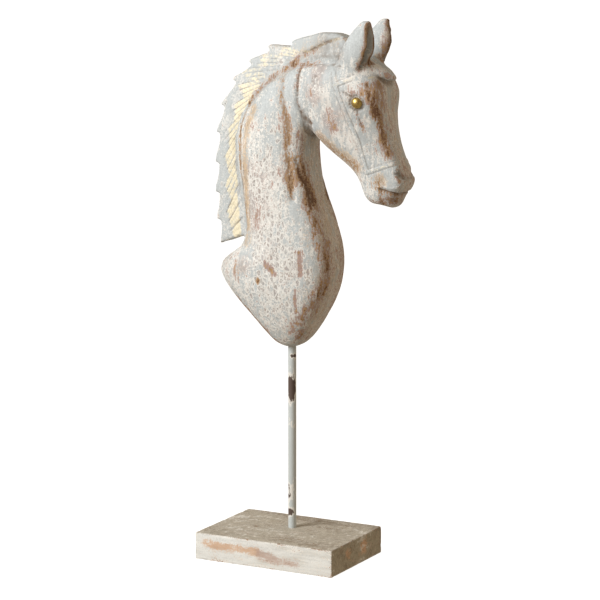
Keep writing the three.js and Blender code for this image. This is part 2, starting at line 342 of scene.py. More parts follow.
def line_gap(points, corners):
    """How far each point is from a line, drawn as (x, z) in the side view or as (x, y, z) on both sides."""
    corners = np.array(corners, float)
    flat = points[:, [0, 2]]
    if corners.shape[1] == 3:
        flat = np.column_stack([points[:, 0], np.abs(points[:, 1]), points[:, 2]])
    nearest = np.full(len(flat), np.inf)
    for start, end in zip(corners[:-1], corners[1:]):
        way = end - start
        share = np.clip((flat - start) @ way / (way @ way), 0, 1)
        nearest = np.minimum(nearest, np.linalg.norm(flat - start - share[:, None] * way, axis=1))
    return nearest


def spot_gap(points, spot):
    return np.linalg.norm(points[:, [0, 2]] - np.array(spot), axis=1)


def bell(gap, width):
    """1 on a line or spot, falling to nearly nothing two widths away."""
    return np.exp(-(gap / width) ** 2)


def ease(values, low, high):
    """0 up to low and 1 from high on, with a soft slope between."""
    share = np.clip((values - low) / (high - low), 0, 1)
    return share * share * (3 - 2 * share)


print("rod axis at x %.1f and y %.1f mm" % tuple(rod_axis[:2] / MM))

# %% [markdown]
# ## The carving's skin
# The solid has the right form in flat facets a few millimetres wide. A carver would now round
# them over with files and scrapers. Here a voxel remesh lays an even net of small squares over
# the solid, and the smoothing that follows can then treat every part of it alike. The ears end
# in rims as thin as a knife, which the net can't follow, so they are made a little thicker first.

# %% Lay an even net over the solid
SKIN_GRID = 1.4 * MM
EAR_BACK = 60
EAR_INNER = 7
EAR_CUT = 486
EAR_EXTRA = 0.65
WELD = 1e-6


def welded_copy(node_name, piece_name):
    """A copy of a solid's mesh, with its loose triangles joined at their corners."""
    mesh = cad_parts[node_name].data.copy()
    mesh.name = piece_name
    work = bmesh.new()
    work.from_mesh(mesh)
    bmesh.ops.remove_doubles(work, verts=work.verts, dist=WELD)
    work.to_mesh(mesh)
    work.free()
    mesh.materials.clear()
    return plain_object(piece_name, mesh)


def settle(piece):
    """Turns a piece with modifiers into a plain mesh."""
    evaluated = piece.evaluated_get(bpy.context.evaluated_depsgraph_get())
    mesh = bpy.data.meshes.new_from_object(evaluated)
    mesh.name = piece.name
    piece.modifiers.clear()
    piece.data = mesh


def on_ears(points):
    """Whether each point is on an ear: forward of its back, off the middle and above the poll."""
    x, y, z = points.T
    return (x > EAR_BACK) & (np.abs(y) > EAR_INNER) & (z > EAR_CUT)


horse = welded_copy("horse_carving", "painted_horse")
points = skin_points(horse.data)
thicker = EAR_EXTRA * on_ears(points)[:, None]
move_points(horse.data, points + thicker * skin_normals(horse.data))
net = horse.modifiers.new("net", "REMESH")
net.mode = "VOXEL"
net.voxel_size = SKIN_GRID
settle(horse)
print("net of", len(horse.data.polygons), "squares")

# %% [markdown]
# ## The mane's own directions
# Each lock of the mane lies between two lines of hair that start on the crest and end at the
# outer edge. Every point of the mane gets two numbers from them: how far it is across the
# strands and how far along the hair. Grooves, slits and gold can then follow the hair anywhere.

# %% Work out the hair lines and place the skin between them
MANE_ROOT = [(58, 486), (22, 484), (0, 475), (-20, 464), (-37, 445), (-47, 425), (-46, 372), (-42, 318)]
MANE_TIPS = [
    (4, 506), (-23, 500.5), (-44, 485.5), (-62.5, 467.5), (-76, 442),
    (-81.5, 415), (-83, 386), (-83, 356.5), (-81.5, 329), (-77.5, 305),
]
TOP_LOCK = [(66, 488), (63, 508), (50, 513), (32, 513.5), MANE_TIPS[0]]
STRANDS = 3
ROOT_STEPS = 40
HAIR_STEPS = 3
HAIR_LAG = 36
NOTCH_IN = 5
NOTCH_ON = 6
FIRST_ROOT = 0.04
ROOT_HALF = 13.7
TIP_HALF = 6.5
MANE_SKIN = 3.2
LOCK_MARGIN = 0.15


def spline(points, steps):
    """A smooth line through the points, with this many steps between two of them."""
    points = np.array(points, float)
    last = len(points) - 1
    rows = []
    for place in np.linspace(0, last, last * steps + 1):
        i = min(int(place), last - 1)
        t = place - i
        before, start, end, after = (points[min(max(k, 0), last)] for k in range(i - 1, i + 3))
        leave = (end - before) / 2
        arrive = (after - start) / 2
        bend = (2 * start - 2 * end + leave + arrive) * t ** 3
        bend += (3 * end - 3 * start - 2 * leave - arrive) * t ** 2
        rows.append(bend + leave * t + start)
    return np.array(rows)


def hair_lines():
    """The lines of hair that bound the locks, from the crest to the outer edge."""
    root = spline(MANE_ROOT, ROOT_STEPS)
    run = np.concatenate([[0], np.cumsum(np.linalg.norm(np.diff(root, axis=0), axis=1))])
    tips = np.array(MANE_TIPS, float)
    count = len(tips)
    lines = [np.array(TOP_LOCK, float)]
    for i in range(1, count + 1):
        last = i == count
        at = min(i, count - 1)
        on = tips[at] - tips[at - 1]
        on /= np.linalg.norm(on)
        inward = np.array([-on[1], on[0]])
        notch = tips[i - 1] + on * (0 if last else NOTCH_ON) + inward * NOTCH_IN
        share = 1 if last else max(FIRST_ROOT, i / count - HAIR_LAG / run[-1])
        start = [np.interp(share * run[-1], run, root[:, axis]) for axis in (0, 1)]
        line = list(np.linspace(start, notch, HAIR_STEPS + 1))
        lines.append(np.array(line + [notch if last else tips[i]]))
    return lines


def share_in_quad(flat, high, low):
    """Where each point lies in a quad: across it from its high to its low side, and along it."""
    first = high[0] - flat
    along = high[1] - high[0]
    across = low[0] - high[0]
    twist = low[1] - low[0] - along

    def cross(a, b):
        return a[..., 0] * b[..., 1] - a[..., 1] * b[..., 0]

    a = cross(across, twist)
    b = cross(first, twist) + cross(across, along)
    c = cross(first, along)
    root = np.sqrt(np.maximum(b * b - 4 * a * c, 0))
    share = np.where(b > 0, -2 * c / np.where(b > 0, b + root, 1), 2 * c / np.where(b > 0, 1, root - b))
    way = along + twist * share[:, None]
    length = -np.sum((first + across * share[:, None]) * way, axis=1) / np.sum(way * way, axis=1)
    return share, length


def hair_places(points):
    """Across and along the hair for each point, and whether it is on the mane at all."""
    flat = points[:, [0, 2]]
    best = np.full(len(points), np.inf)
    across = np.zeros(len(points))
    along = np.zeros(len(points))
    lines = hair_lines()
    count = HAIR_STEPS + 1
    for lock, (upper, lower) in enumerate(zip(lines[:-1], lines[1:])):
        under = np.linspace(lower[0], lower[count - 1], count + 1)
        for k in range(count):
            share, length = share_in_quad(flat, upper[k:k + 2], under[k:k + 2])
            out = np.maximum.reduce([-share, share - 1, -length, length - 1, np.zeros(len(flat))])
            nearer = out < best
            best = np.where(nearer, out, best)
            across = np.where(nearer, STRANDS * (lock + np.clip(share, 0, 1)), across)
            along = np.where(nearer, (k + np.clip(length, 0, 1)) / count, along)
    half = ROOT_HALF + (TIP_HALF - ROOT_HALF) * along
    inside = (best < LOCK_MARGIN) & (np.abs(points[:, 1]) < half + MANE_SKIN)
    return across, along, inside.astype(float)


across, along, on_mane = hair_places(skin_points(horse.data))
print("mane points:", int(on_mane.sum()), "strands:", STRANDS * len(MANE_TIPS))

# %% [markdown]
# ## Rounding over
# Smoothing moves each point towards the mean of its neighbours. A few rounds that step forward
# and then back take out the net's own small steps without shrinking anything. More rounds forward
# would melt the edges along with the facets. So each pair of neighbours gets a weight that falls
# as the skin turns between them: the flat facets of the neck and cheeks run together, and the
# ridge of the face, the mouth and the edges of the locks stay crisp. The bridle's edges and the
# outer part of the mane are smoothed like the rest, because they are carved anew in a later step.
# The ears' thin rims come out ragged, so they get many rounds forward and back of their own.

# %% Smooth the broad forms and spare the edges
EYE = (84.3, 451.4)
CHEEK_STRAP = [(57, 488), (63, 466), (71, 446), (82.5, 416), (90, 385.5)]
BROW_BAND = [(62, 467), (80, 474.5), (90, 478)]
NOSE_BAND = [(89.5, 385), (108.5, 392), (128, 398.5)]
STRAP_MELT = 5
HEAD_BACK = 50
HEAD_FOOT = 380
EAR_FOOT = 480
EVEN_SHARE = 0.5
BACK_SHARE = -0.53
FIRST_ROUNDS = 9
ROUNDS = 70
EAR_ROUNDS = 180
EAR_BACK_SHARE = -0.51
EAR_RISE = 6
CREASE_TURN = math.radians(9)
TIP_MELT = (0.5, 0.9)
EAR_SHARE = 0.05
MANE_SHARE = 0.08
FORELOCK_SHARE = 0.06
FORELOCK_FOOT = 468
FORELOCK_BACK = 84
FORELOCK_HALF = 20
MUZZLE_SHARE = 0.25
MUZZLE = (110, 372)
MUZZLE_REACH = 24
LEAST_PULL = 1e-9


def relax(points, edges, rounds, weights=None, shares=(EVEN_SHARE,), free=1):
    """Moves each point, as far as it is free, towards its neighbours' mean, by these shares in turn."""
    count = len(points)
    first, second = edges.T
    weights = np.ones(len(edges)) if weights is None else weights
    total = np.bincount(first, weights, count) + np.bincount(second, weights, count)
    total = np.maximum(total, LEAST_PULL)
    for share in shares * rounds:
        mean = np.empty_like(points)
        for axis in range(points.shape[1]):
            pull = np.bincount(first, weights * points[second, axis], count)
            pull += np.bincount(second, weights * points[first, axis], count)
            mean[:, axis] = pull / total
        settled = (np.minimum(total, 1) * free)[:, None] * share
        points = points + settled * (mean - points)
    return points


def bridle_gap(points):
    """The distance from the bridle's middle lines, for points of the head."""
    gap = np.minimum.reduce([line_gap(points, line) for line in (CHEEK_STRAP, BROW_BAND, NOSE_BAND)])
    on_head = (points[:, 0] > HEAD_BACK) & (points[:, 2] > HEAD_FOOT) & (points[:, 2] < EAR_FOOT)
    return np.where(on_head, gap, np.inf)


def on_forelock(points):
    x, y, z = points.T
    return (x > FORELOCK_BACK) & (np.abs(y) < FORELOCK_HALF) & (z > FORELOCK_FOOT)


def thin_share(points, on_mane):
    """How much smoothing each point may take. Thin and small forms shrink, so they take little."""
    share = np.where(on_mane > 0, MANE_SHARE, 1)
    share = np.where(on_ears(points), EAR_SHARE, share)
    share = np.where(on_forelock(points), FORELOCK_SHARE, share)
    return np.where(spot_gap(points, MUZZLE) < MUZZLE_REACH, MUZZLE_SHARE, share)


def crease_weights(mesh, melted, share):
    """High between neighbours that face the same way, and nearly 0 across an edge that has to stay."""
    edges = skin_edges(mesh)
    first, second = skin_normals(mesh)[edges].transpose(1, 0, 2)
    turn = np.arccos(np.clip(np.sum(first * second, axis=1), -1, 1))
    kept = np.where(melted[edges].all(axis=1), 1, bell(turn, CREASE_TURN))
    return kept * share[edges].min(axis=1)


skin = skin_points(horse.data)
evened = relax(skin, skin_edges(horse.data), FIRST_ROUNDS, shares=(EVEN_SHARE, BACK_SHARE))
move_points(horse.data, evened)
melted = bridle_gap(skin) < STRAP_MELT
melted |= (on_mane > 0) & (along > TIP_MELT[0]) & (along < TIP_MELT[1])
weights = crease_weights(horse.data, melted, thin_share(skin, on_mane))
smoothed = relax(skin_points(horse.data), skin_edges(horse.data), ROUNDS, weights)
edges = skin_edges(horse.data)
ears = on_ears(smoothed)
ear_edges = edges[ears[edges].any(axis=1)]
ears = ears * ease(smoothed[:, 2], EAR_CUT, EAR_CUT + EAR_RISE)
smoothed = relax(smoothed, ear_edges, EAR_ROUNDS, shares=(EVEN_SHARE, EAR_BACK_SHARE), free=ears)
move_points(horse.data, smoothed)
print("largest move in smoothing: %.2f mm" % np.linalg.norm(smoothed - skin, axis=1).max())

# %% [markdown]
# ## Room for fine carving
# The bridle's edges, the eyelids and the muzzle are finer than the net. Cutting each square
# there into four keeps the count low everywhere else.

# %% Cut the net finer where the carving is fine
BAND_ROOM = 3.5
EYE_ROOM = 11
MUZZLE_ROOM = 21


def refine(mesh, chosen):
    """Halves every edge between two chosen points, which cuts each square there into four."""
    work = bmesh.new()
    work.from_mesh(mesh)
    work.verts.ensure_lookup_table()
    edges = [e for e in work.edges if chosen[e.verts[0].index] and chosen[e.verts[1].index]]
    bmesh.ops.subdivide_edges(work, edges=edges, cuts=1, use_grid_fill=True)
    bmesh.ops.triangulate(work, faces=[f for f in work.faces if len(f.verts) > 4])
    work.to_mesh(mesh)
    work.free()


points = skin_points(horse.data)
fine = bridle_gap(points) < BAND_ROOM
fine |= spot_gap(points, EYE) < EYE_ROOM
fine |= spot_gap(points, MUZZLE) < MUZZLE_ROOM
refine(horse.data, fine & (points[:, 2] < EAR_FOOT) & (points[:, 0] > HEAD_BACK))
print("faces after the finer cut:", len(horse.data.polygons))

# %% [markdown]
# ## Fine carving
# A carver draws the cuts on the wood before making them. These are the lines of the grooves, the
# lids, the lips and the nostrils, each with a width and a height in millimetres, and what is cut
# in has a height below 0. A line near a corner of the form has three coordinates, because the
# side view would smear it there.

# %% Draw the lines to be carved
NECK_GROOVE = [
    (-0.3, 469), (2.4, 455), (5.1, 442), (9.5, 428.4), (9, 412), (10.5, 393), (12.2, 377), (14.9, 358),
]
CHEEK_REAR = [(18.5, 482), (18.5, 462), (19.5, 447), (24.6, 435.5), (32, 429)]
LID_CREASE = [(70, 461.2), (76, 459.6), (79.5, 457.8)]
TEAR_LINE = [(84.5, 445), (85, 437), (88, 429)]
MOUTH_LINE = [(103.5, 369.8), (106.5, 369.2), (112.5, 367.4), (119.8, 365.4), (128, 364)]
CHIN_LINE = [(104.5, 367), (102.8, 362), (103.8, 355)]
LIP_RIM = [(101.5, 371.6), (106, 372.6), (110, 371.6), (114.5, 371), (121.3, 372.5)]
NOSTRIL_SLIT = [(119, 386), (123.3, 381.5), (126.4, 379)]
NECK_STREAK = [(17.8, 23.7, 393), (21.8, 21.5, 380.6), (26, 19, 370), (30.4, 17, 354)]
TOP_LINE = [(18.6, 494.9), (29.3, 499.2), (38.2, 503.4), (47.1, 506.9), (55.9, 509.5)]
SIDE_CUTS = [
    (NECK_GROOVE, 5.0, -1.5),
    (CHEEK_REAR, 2.2, -1.3),
    (LID_CREASE, 0.9, -0.7),
    (TEAR_LINE, 0.9, -0.4),
    (CHIN_LINE, 1.5, -0.6),
    (LIP_RIM, 1.2, 0.45),
]
EDGE_CUTS = [
    (NOSTRIL_SLIT, 1.4, -1.8),
    (NECK_STREAK, 2.6, -1.3),
]
EDGE_FROM = (6, 10)
ROUND_CUTS = [
    (MOUTH_LINE, 1.1, -1.5),
]
TOP_CUT = (1.6, -0.9)
ROOT_CUT = (1.7, -1.0)
ROOT_CUT_STEPS = 6
print("lines to carve:", len(SIDE_CUTS + EDGE_CUTS + ROUND_CUTS))

# %% [markdown]
# ## Cutting
# A gouge leaves a rounded hollow along its path and a strap stands proud with square edges. Each
# is a small push in or out along the skin's own normal, by an amount that depends on how far a
# point is from the line. All the pushes are added up and made at once.

# %% Carve the bridle, eyelids, grooves and strands
STRAP_HALF = 1.8
STRAP_EDGE = 0.35
STRAP_PROUD = 0.35
STRAP_LINE = (0.5, 0.3)
BOSS = (39, 471)
BOSS_RING = (3.6, 0.9, -0.7)
BOSS_DOME = (2.2, 0.6)
BAND_FADE = (77, 83)
EYE_RING = (7.3, 0.7, -0.5)
SLIT_CUT = (0.09, -0.9)
HAIR_CUT = (0.16, -0.25)
SLIT_SPAN = (0.08, 0.2, 0.55, 0.72)
TOP_STRANDS = (2.4, 3.2)
COMB_SPOT = (103, 377)
COMB_SIZE = 8
COMB_PITCH = 2.6
COMB_CUT = 0.2
COMB_TURN = math.radians(20)
SIDE_FACING = 0.3


def comb_wave(points):
    """The rise and fall of the chisel cuts beside the mouth, and how strongly they show."""
    way = points[:, 0] * math.cos(COMB_TURN) + points[:, 2] * math.sin(COMB_TURN)
    wave = np.sin(2 * math.pi * way / COMB_PITCH)
    return wave, bell(spot_gap(points, COMB_SPOT), COMB_SIZE)


def strap_height(gap):
    """A strap stands proud with square edges and has a fine line cut beside it."""
    width, depth = STRAP_LINE
    rise = STRAP_PROUD * (1 - ease(gap, STRAP_HALF - STRAP_EDGE, STRAP_HALF + STRAP_EDGE))
    return rise - depth * bell(gap - STRAP_HALF - 2 * STRAP_EDGE, width)


def span(values, rise_from, rise_to, fall_from, fall_to):
    """1 in the middle of a stretch, with a soft start and a soft end."""
    return ease(values, rise_from, rise_to) * (1 - ease(values, fall_from, fall_to))


def strand_height(across, along):
    """Slits between the strands and a shallower line down the middle of each."""
    slit = bell(across - np.round(across), SLIT_CUT[0]) * SLIT_CUT[1]
    middle = bell(across - np.floor(across) - 0.5, HAIR_CUT[0]) * HAIR_CUT[1]
    return (slit + middle) * span(along, *SLIT_SPAN) * ease(across, *TOP_STRANDS)


points = skin_points(horse.data)
normals = skin_normals(horse.data)
across, along, on_mane = hair_places(points)
on_side = ease(np.abs(normals[:, 1]), SIDE_FACING, 2 * SIDE_FACING)
bridle = bridle_gap(points)
banded = on_side * (1 - ease(points[:, 0], *BAND_FADE) * (points[:, 2] > EYE[1]))
push = strap_height(bridle) * banded
off_middle = ease(np.abs(points[:, 1]), *EDGE_FROM)
for cuts, where in ((SIDE_CUTS, on_side), (EDGE_CUTS, off_middle), (ROUND_CUTS, 1)):
    for line, width, height in cuts:
        push += height * bell(line_gap(points, line), width) * where * (1 - on_mane)
push += TOP_CUT[1] * bell(line_gap(points, TOP_LINE), TOP_CUT[0]) * on_mane
for spot, (radius, width, height) in ((BOSS, BOSS_RING), (EYE, EYE_RING)):
    push += height * bell(spot_gap(points, spot) - radius, width) * on_side
push += ROOT_CUT[1] * bell(line_gap(points, spline(MANE_ROOT, ROOT_CUT_STEPS)), ROOT_CUT[0]) * on_side
push += BOSS_DOME[1] * bell(spot_gap(points, BOSS), BOSS_DOME[0]) * on_side
wave, combed = comb_wave(points)
push += COMB_CUT * wave * combed * on_side
push += strand_height(across, along) * on_mane * on_side
move_points(horse.data, points + normals * push[:, None])
print("carved from %.2f to %.2f mm" % (push.min(), push.max()))

# %% [markdown]
# ## Where the paint has worn
# Hands and years rub paint off what stands proud, and dirt stays in what lies deep, where shade
# falls too: the brown later laid in the hollows is dirt and painted shade together. Comparing the
# skin with a smoother copy of itself finds both. Some places are worn for reasons of their own,
# such as the ridge of the face and the edge of the jaw, so they are drawn as soft lines and spots.
# Each has a width in millimetres and an amount.

# %% Find and draw the wear
RELIEF_ROUNDS = 14
RELIEF_FULL = 0.4
FACE_STREAK = [
    (92.5, 25.5, 467), (99.5, 26.5, 451), (101.6, 22.5, 438.6), (105.5, 18, 423), (109, 16.5, 411),
    (112.3, 16.2, 402), (116, 16.5, 392),
]
NECK_BAND = [
    (31, 22, 350), (36, 25.3, 333), (41.3, 24.5, 314), (45.3, 22, 301), (46.3, 20, 290), (41.8, 22.5, 270),
    (34.7, 25.2, 256), (19.5, 24.5, 236), (14, 20, 222),
]
JAW_EDGE = [(40, 416), (46, 412.5), (55, 405), (66, 398), (78, 389)]
UNDER_EYE = [(84, 443), (86, 432), (90, 424)]
UPPER_ROOT = [(29.2, 496.3), (14.9, 490.3), (4.1, 482), (-8.6, 473.6), (-26.8, 460.9), (-39.7, 444.4)]
LOWER_ROOT = [(-39.7, 444.4), (-47, 425), (-47, 394.6), (-45.4, 373.7), (-41.5, 346.4), (-40.5, 322)]
FOOT_EDGE = [(-52, 255), (-37, 240.5), (-19, 222.5), (-8, 211.5)]
CHEEK_TOP = [(6.8, 482.4), (17.5, 482.8), (28.2, 484.8), (42.5, 486.8)]
WORN_LINES = [
    (FACE_STREAK[:6], 2.2, 0.5), (FACE_STREAK[:6], 6.0, 0.18), (FACE_STREAK[:3], 4.0, 0.3),
    (NECK_STREAK, 3.8, 0.55), (NECK_STREAK, 8.0, 0.16),
    (NECK_BAND, 10.0, 0.17), (NECK_BAND[:5], 4.0, 0.18), (NECK_BAND[5:8], 3.5, 0.1),
    (NECK_GROOVE, 3.8, 0.42),
    (CHEEK_REAR, 2.0, 0.26),
    (JAW_EDGE, 4.0, 0.2),
    (FOOT_EDGE, 2.2, 0.45),
    (UNDER_EYE, 2.6, 0.3),
    (MOUTH_LINE, 1.5, 0.3),
    (CHIN_LINE, 2.0, 0.4),
]
WORN_SPOTS = [
    ((57, 433), 9, 0.26), ((36, 458), 8, 0.2), ((100, 376), 8, 0.22), ((112, 361), 8, 0.22),
    ((102, 408), 8, 0.14), ((93, 462), 6, 0.2), ((-23, 340), 11, 0.16), ((-19, 275.2), 3.2, 0.5),
    ((-44, 286), 10, 0.2),
]
ROOT_WORN = [(UPPER_ROOT, 3.4, 0.4), (LOWER_ROOT, 2.0, 0.34), (CHEEK_TOP, 2.6, 0.32)]
CHIPS = [
    ([(24.7, 306), (24.7, 284)], 3.0, 0.45), ([(20.4, 269), (19.3, 249)], 2.6, 0.42),
    ([(-12, 292.5), (-2, 284)], 3.8, 0.45),
]
COMB_WORN = 0.12
FRONT_WORN = 0.13
FRONT_FACING = (0.4, 0.9)
EAR_WORN = 0.26
EAR_FACING = (0.1, 0.5)


def drawn_map(points, lines, spots):
    """The sum of soft lines and spots drawn in the side view."""
    total = np.zeros(len(points))
    for corners, width, amount in lines:
        total += amount * bell(line_gap(points, corners), width)
    for place, width, amount in spots:
        total += amount * bell(spot_gap(points, place), width)
    return total


points = skin_points(horse.data)
normals = skin_normals(horse.data)
smooth_copy = relax(points, skin_edges(horse.data), RELIEF_ROUNDS)
relief = np.sum((points - smooth_copy) * normals, axis=1) / RELIEF_FULL
off_mane = 1 - on_mane
ears = on_ears(points)
ear_front = ears * ease(normals[:, 0], *EAR_FACING)
front = ease(normals[:, 0], *FRONT_FACING)
worn = drawn_map(points, WORN_LINES, WORN_SPOTS) * off_middle * off_mane
worn += drawn_map(points, ROOT_WORN, []) + COMB_WORN * wave * combed
worn += EAR_WORN * ear_front + FRONT_WORN * front * off_mane
print("worn up to %.2f, relief from %.2f to %.2f" % (worn.max(), relief.min(), relief.max()))

# %% [markdown]
# ## Washes, dirt, painted shade and gold
# The paint isn't one colour all over. Tan washes lie along the edges, and over what faces
# forward, away from the lamp, where the tan is partly the paint's own tone and partly painted shade.
# The coat below is mauve in some places and warm in others. Dirt has gathered in the cuts, and
# dark brown is painted as shade in the creases, around the eye studs, in the ear scoops, under the
# forelock and on the top face of the withers. The gold follows the hair: a band of it lies across
# the strands, fainter towards the top, where it also sits further out.

# %% Draw the colours that change from place to place
ROOT_SIDE = [(-30, 440), (-36, 424), (-38.5, 400), (-38.7, 351), (-37.7, 327)]
TAN_WASHES = [(ROOT_SIDE, 5.5, 0.8), (JAW_EDGE, 8, 0.9), (NECK_BAND, 16, 0.35), (NECK_GROOVE, 7, 0.4)]
TAN_SPOTS = [((103, 378), 9, 0.8), ((30, 491), 9, 0.4), ((-41, 312), 9, 0.7)]
TOP_WASHES = [([(10, 497), (30, 504), (56, 508)], 7, 0.25), (UPPER_ROOT, 5, 0.6)]
# What faces forward, away from the lamp, takes the tan wash: partly the paint's own tone, partly painted
# shade.
FRONT_WASH_AND_SHADE = 0.5
EAR_WASH = 1.0
WARM_LINES = [(JAW_EDGE, 7, 0.9), (NECK_STREAK, 6, 0.6), (NECK_GROOVE, 5, 0.6), (LOWER_ROOT, 5, 0.9)]
WARM_SPOTS = [((101, 377), 11, 0.9), ((-19, 275), 6, 0.9), ((-44, 286), 10, 0.5)]
MAUVE_SPOTS = [
    ((-24, 375), 16, 0.8), ((-24, 342), 16, 1.3), ((-40, 288), 12, 0.8), ((57, 433), 11, 0.9),
    ((38, 457), 10, 0.7), ((42, 478), 9, 0.4), ((24, 292), 10, 0.5),
]
GREY_SPOTS = [
    ((5, 320), 14, 0.3), ((0, 272), 14, 0.3), ((-7, 406), 14, 0.25), ((22, 341), 10, 0.3),
    ((-21, 226), 10, 0.2), ((-20, 440), 16, 0.25),
    ((40, 462), 20, -0.2),
]
CRACKLE_SPOTS = [
    ((-22, 372), 26, 0.7), ((-8, 335), 26, 0.9), ((10, 300), 26, 0.8), ((-12, 262), 26, 0.6),
    ((10, 262), 24, 0.6), ((-12, 420), 22, 0.45), ((98, 409), 12, 0.6), ((45, 428), 14, 0.4),
]
# Dark lines along the cuts: dirt in them, and painted shade where the creases, lips and nostril fall dark.
CREASE_DIRT_AND_SHADE = [
    (LID_CREASE, 1.0, 0.8), (TEAR_LINE, 0.9, 0.5), (MOUTH_LINE, 1.3, 0.6), (NOSTRIL_SLIT, 1.6, 0.5),
    (CHEEK_REAR, 1.4, 0.4), (TOP_LINE, 1.2, 0.5),
]
# Dark spots: dirt, with painted shade on the top face of the withers and under the forelock.
DIRT_AND_SHADE_SPOTS = [
    ((113, 362), 7, 0.4), ((96, 471), 6, 0.4), ((40, 503), 12, 0.5), ((62, 497), 9, 0.5),
    ((-66, 291), 8, 0.35),
]
# A dark ring around each eye stud: painted shadow of its socket.
SOCKET_SHADOW_RING = (6.5, 1.1, 0.9)
# Dark inside the ear scoops, which face away from the lamp: dirt and painted shade.
EAR_DIRT_AND_SHADE = 0.2
GOLD_SPAN = (0.2, 0.26, 0.5, 0.62)
GOLD_SHIFT = 0.3
UPPER_STRANDS = (9, 15)
UPPER_FAINT = 0.4
TOP_GOLD = (1.7, 0.75)
BAND_GOLD = 0.55
FORELOCK_GOLD = ((94.8, 474.2), 2.2, 0.9)
GOLD_SEEN = 0.4

# The tan map: washes along lines and spots, and painted shade on what faces forward.
tan_wash_and_front_shade = (drawn_map(points, TAN_WASHES, TAN_SPOTS) + FRONT_WASH_AND_SHADE * front) * off_mane
tan_wash_and_front_shade += drawn_map(points, TOP_WASHES, []) + EAR_WASH * ear_front
# The dark map: dirt and painted shade along the cuts, in spots, in the ear scoops and round the eyes.
drawn_dirt_and_shade = drawn_map(points, CREASE_DIRT_AND_SHADE, DIRT_AND_SHADE_SPOTS) + EAR_DIRT_AND_SHADE * ear_front
# Painted socket shadow around the eye stud.
drawn_dirt_and_shade += SOCKET_SHADOW_RING[2] * bell(spot_gap(points, EYE) - SOCKET_SHADOW_RING[0], SOCKET_SHADOW_RING[1])
low_strands = ease(across, *UPPER_STRANDS)
hair_gold = span(along - GOLD_SHIFT * (1 - low_strands), *GOLD_SPAN) * ease(across, *TOP_STRANDS)
hair_gold *= 1 - UPPER_FAINT * (1 - low_strands)
hair_gold += TOP_GOLD[1] * bell(line_gap(points, TOP_LINE), TOP_GOLD[0])
gilt_bands = np.minimum(line_gap(points, BROW_BAND), line_gap(points, NOSE_BAND))
gilt_bands = np.where(np.isfinite(bridle), gilt_bands, np.inf)
gold = hair_gold * on_mane + BAND_GOLD * bell(gilt_bands, STRAP_HALF) * banded
gold += drawn_map(points, [], [FORELOCK_GOLD])
print("gold on", int((gold > GOLD_SEEN).sum()), "points")

# %% [markdown]
# ## Maps on the mesh
# A finish can't see these lines and spots. What it can read is a named value at each point of the
# mesh, which it blends over the faces between. So every map is kept there under a plain name.

# %% Keep the maps on the mesh
HEAD_FROM = (15, 45)
HEAD_ABOVE = (355, 375)
EAR_HOLLOW_EASE = 0.7


def keep_map(mesh, name, values):
    layer = mesh.attributes.new(name, "FLOAT", "POINT")
    layer.data.foreach_set("value", np.asarray(values, np.float32))


maps = {
    "worn": worn,
    "warm": np.clip(drawn_map(points, WARM_LINES, WARM_SPOTS), 0, 1),
    "chips": drawn_map(points, CHIPS, []) * off_middle,
    "tan_wash_and_front_shade": tan_wash_and_front_shade,
    "drawn_dirt_and_shade": drawn_dirt_and_shade,
    "head": ease(points[:, 0], *HEAD_FROM) * ease(points[:, 2], *HEAD_ABOVE),
    "mauve": drawn_map(points, [], MAUVE_SPOTS) * off_mane,
    "grey": drawn_map(points, [], GREY_SPOTS) * off_mane,
    "crackle": drawn_map(points, [], CRACKLE_SPOTS) * off_mane,
    "ridge": np.clip(relief, 0, 1),
    # Brown laid later in what lies deep: dirt and painted shade together.
    "dirt_and_shade_in_hollows": np.clip(-relief, 0, 1) * (1 - EAR_HOLLOW_EASE * ears),
    "gold": gold,
    "hair_across": across,
    "on_mane": on_mane,
}
for name, values in maps.items():
    keep_map(horse.data, name, values)
    print("%-12s %.2f to %.2f" % (name, values.min(), values.max()))

# %% [markdown]
# ## Coats that wear and crackle
# Old paint shows its layers. One number, the depth of wear, can say which coat shows at a point:
# where it rises slowly from nothing, each coat comes out in turn, so a chip has a pale rim, as
# real chips do. Thick paint also shrinks and crackles into small cells. The edges of a Voronoi
# texture draw the cells, and a number that belongs to each cell says whether it has lost its paint.

# %% Make ways to lay and break a coat
WHITE_COAT = colour("#DCDCD8")
COAT_EDGE = 0.035
CELL_RIM = (0.06, 0.12)
CELL_WALL = 0.08
CELL_CHOSEN = (0.9, 1.0)
CELL_LOST = (0.1, 0.4)
LOST_SHARE = (0.35, 0.5)
RIM_WHITE = 0.9
STRAY_DETAIL = 3


def layered(graph, wear, depths, coats):
    """The colour of the coat that shows at each depth of wear, and how far down it lies."""
    shown = coats[0]
    depth = 0.0
    for start, coat in zip(depths, coats[1:]):
        through = graph.step(wear, start - COAT_EDGE, start + COAT_EDGE)
        shown = graph.blend(through, shown, coat)
        depth = depth + through
    return shown, depth / len(depths)


def strayed(graph, place, scale, reach):
    """A place moved about a little by noise, so that edges drawn at it are not smooth."""
    drift = graph.noise(place, scale, STRAY_DETAIL).out("Color")
    return graph.vector("ADD", place, graph.scaled(graph.vector("SUBTRACT", drift, (0.5, 0.5, 0.5)), reach))


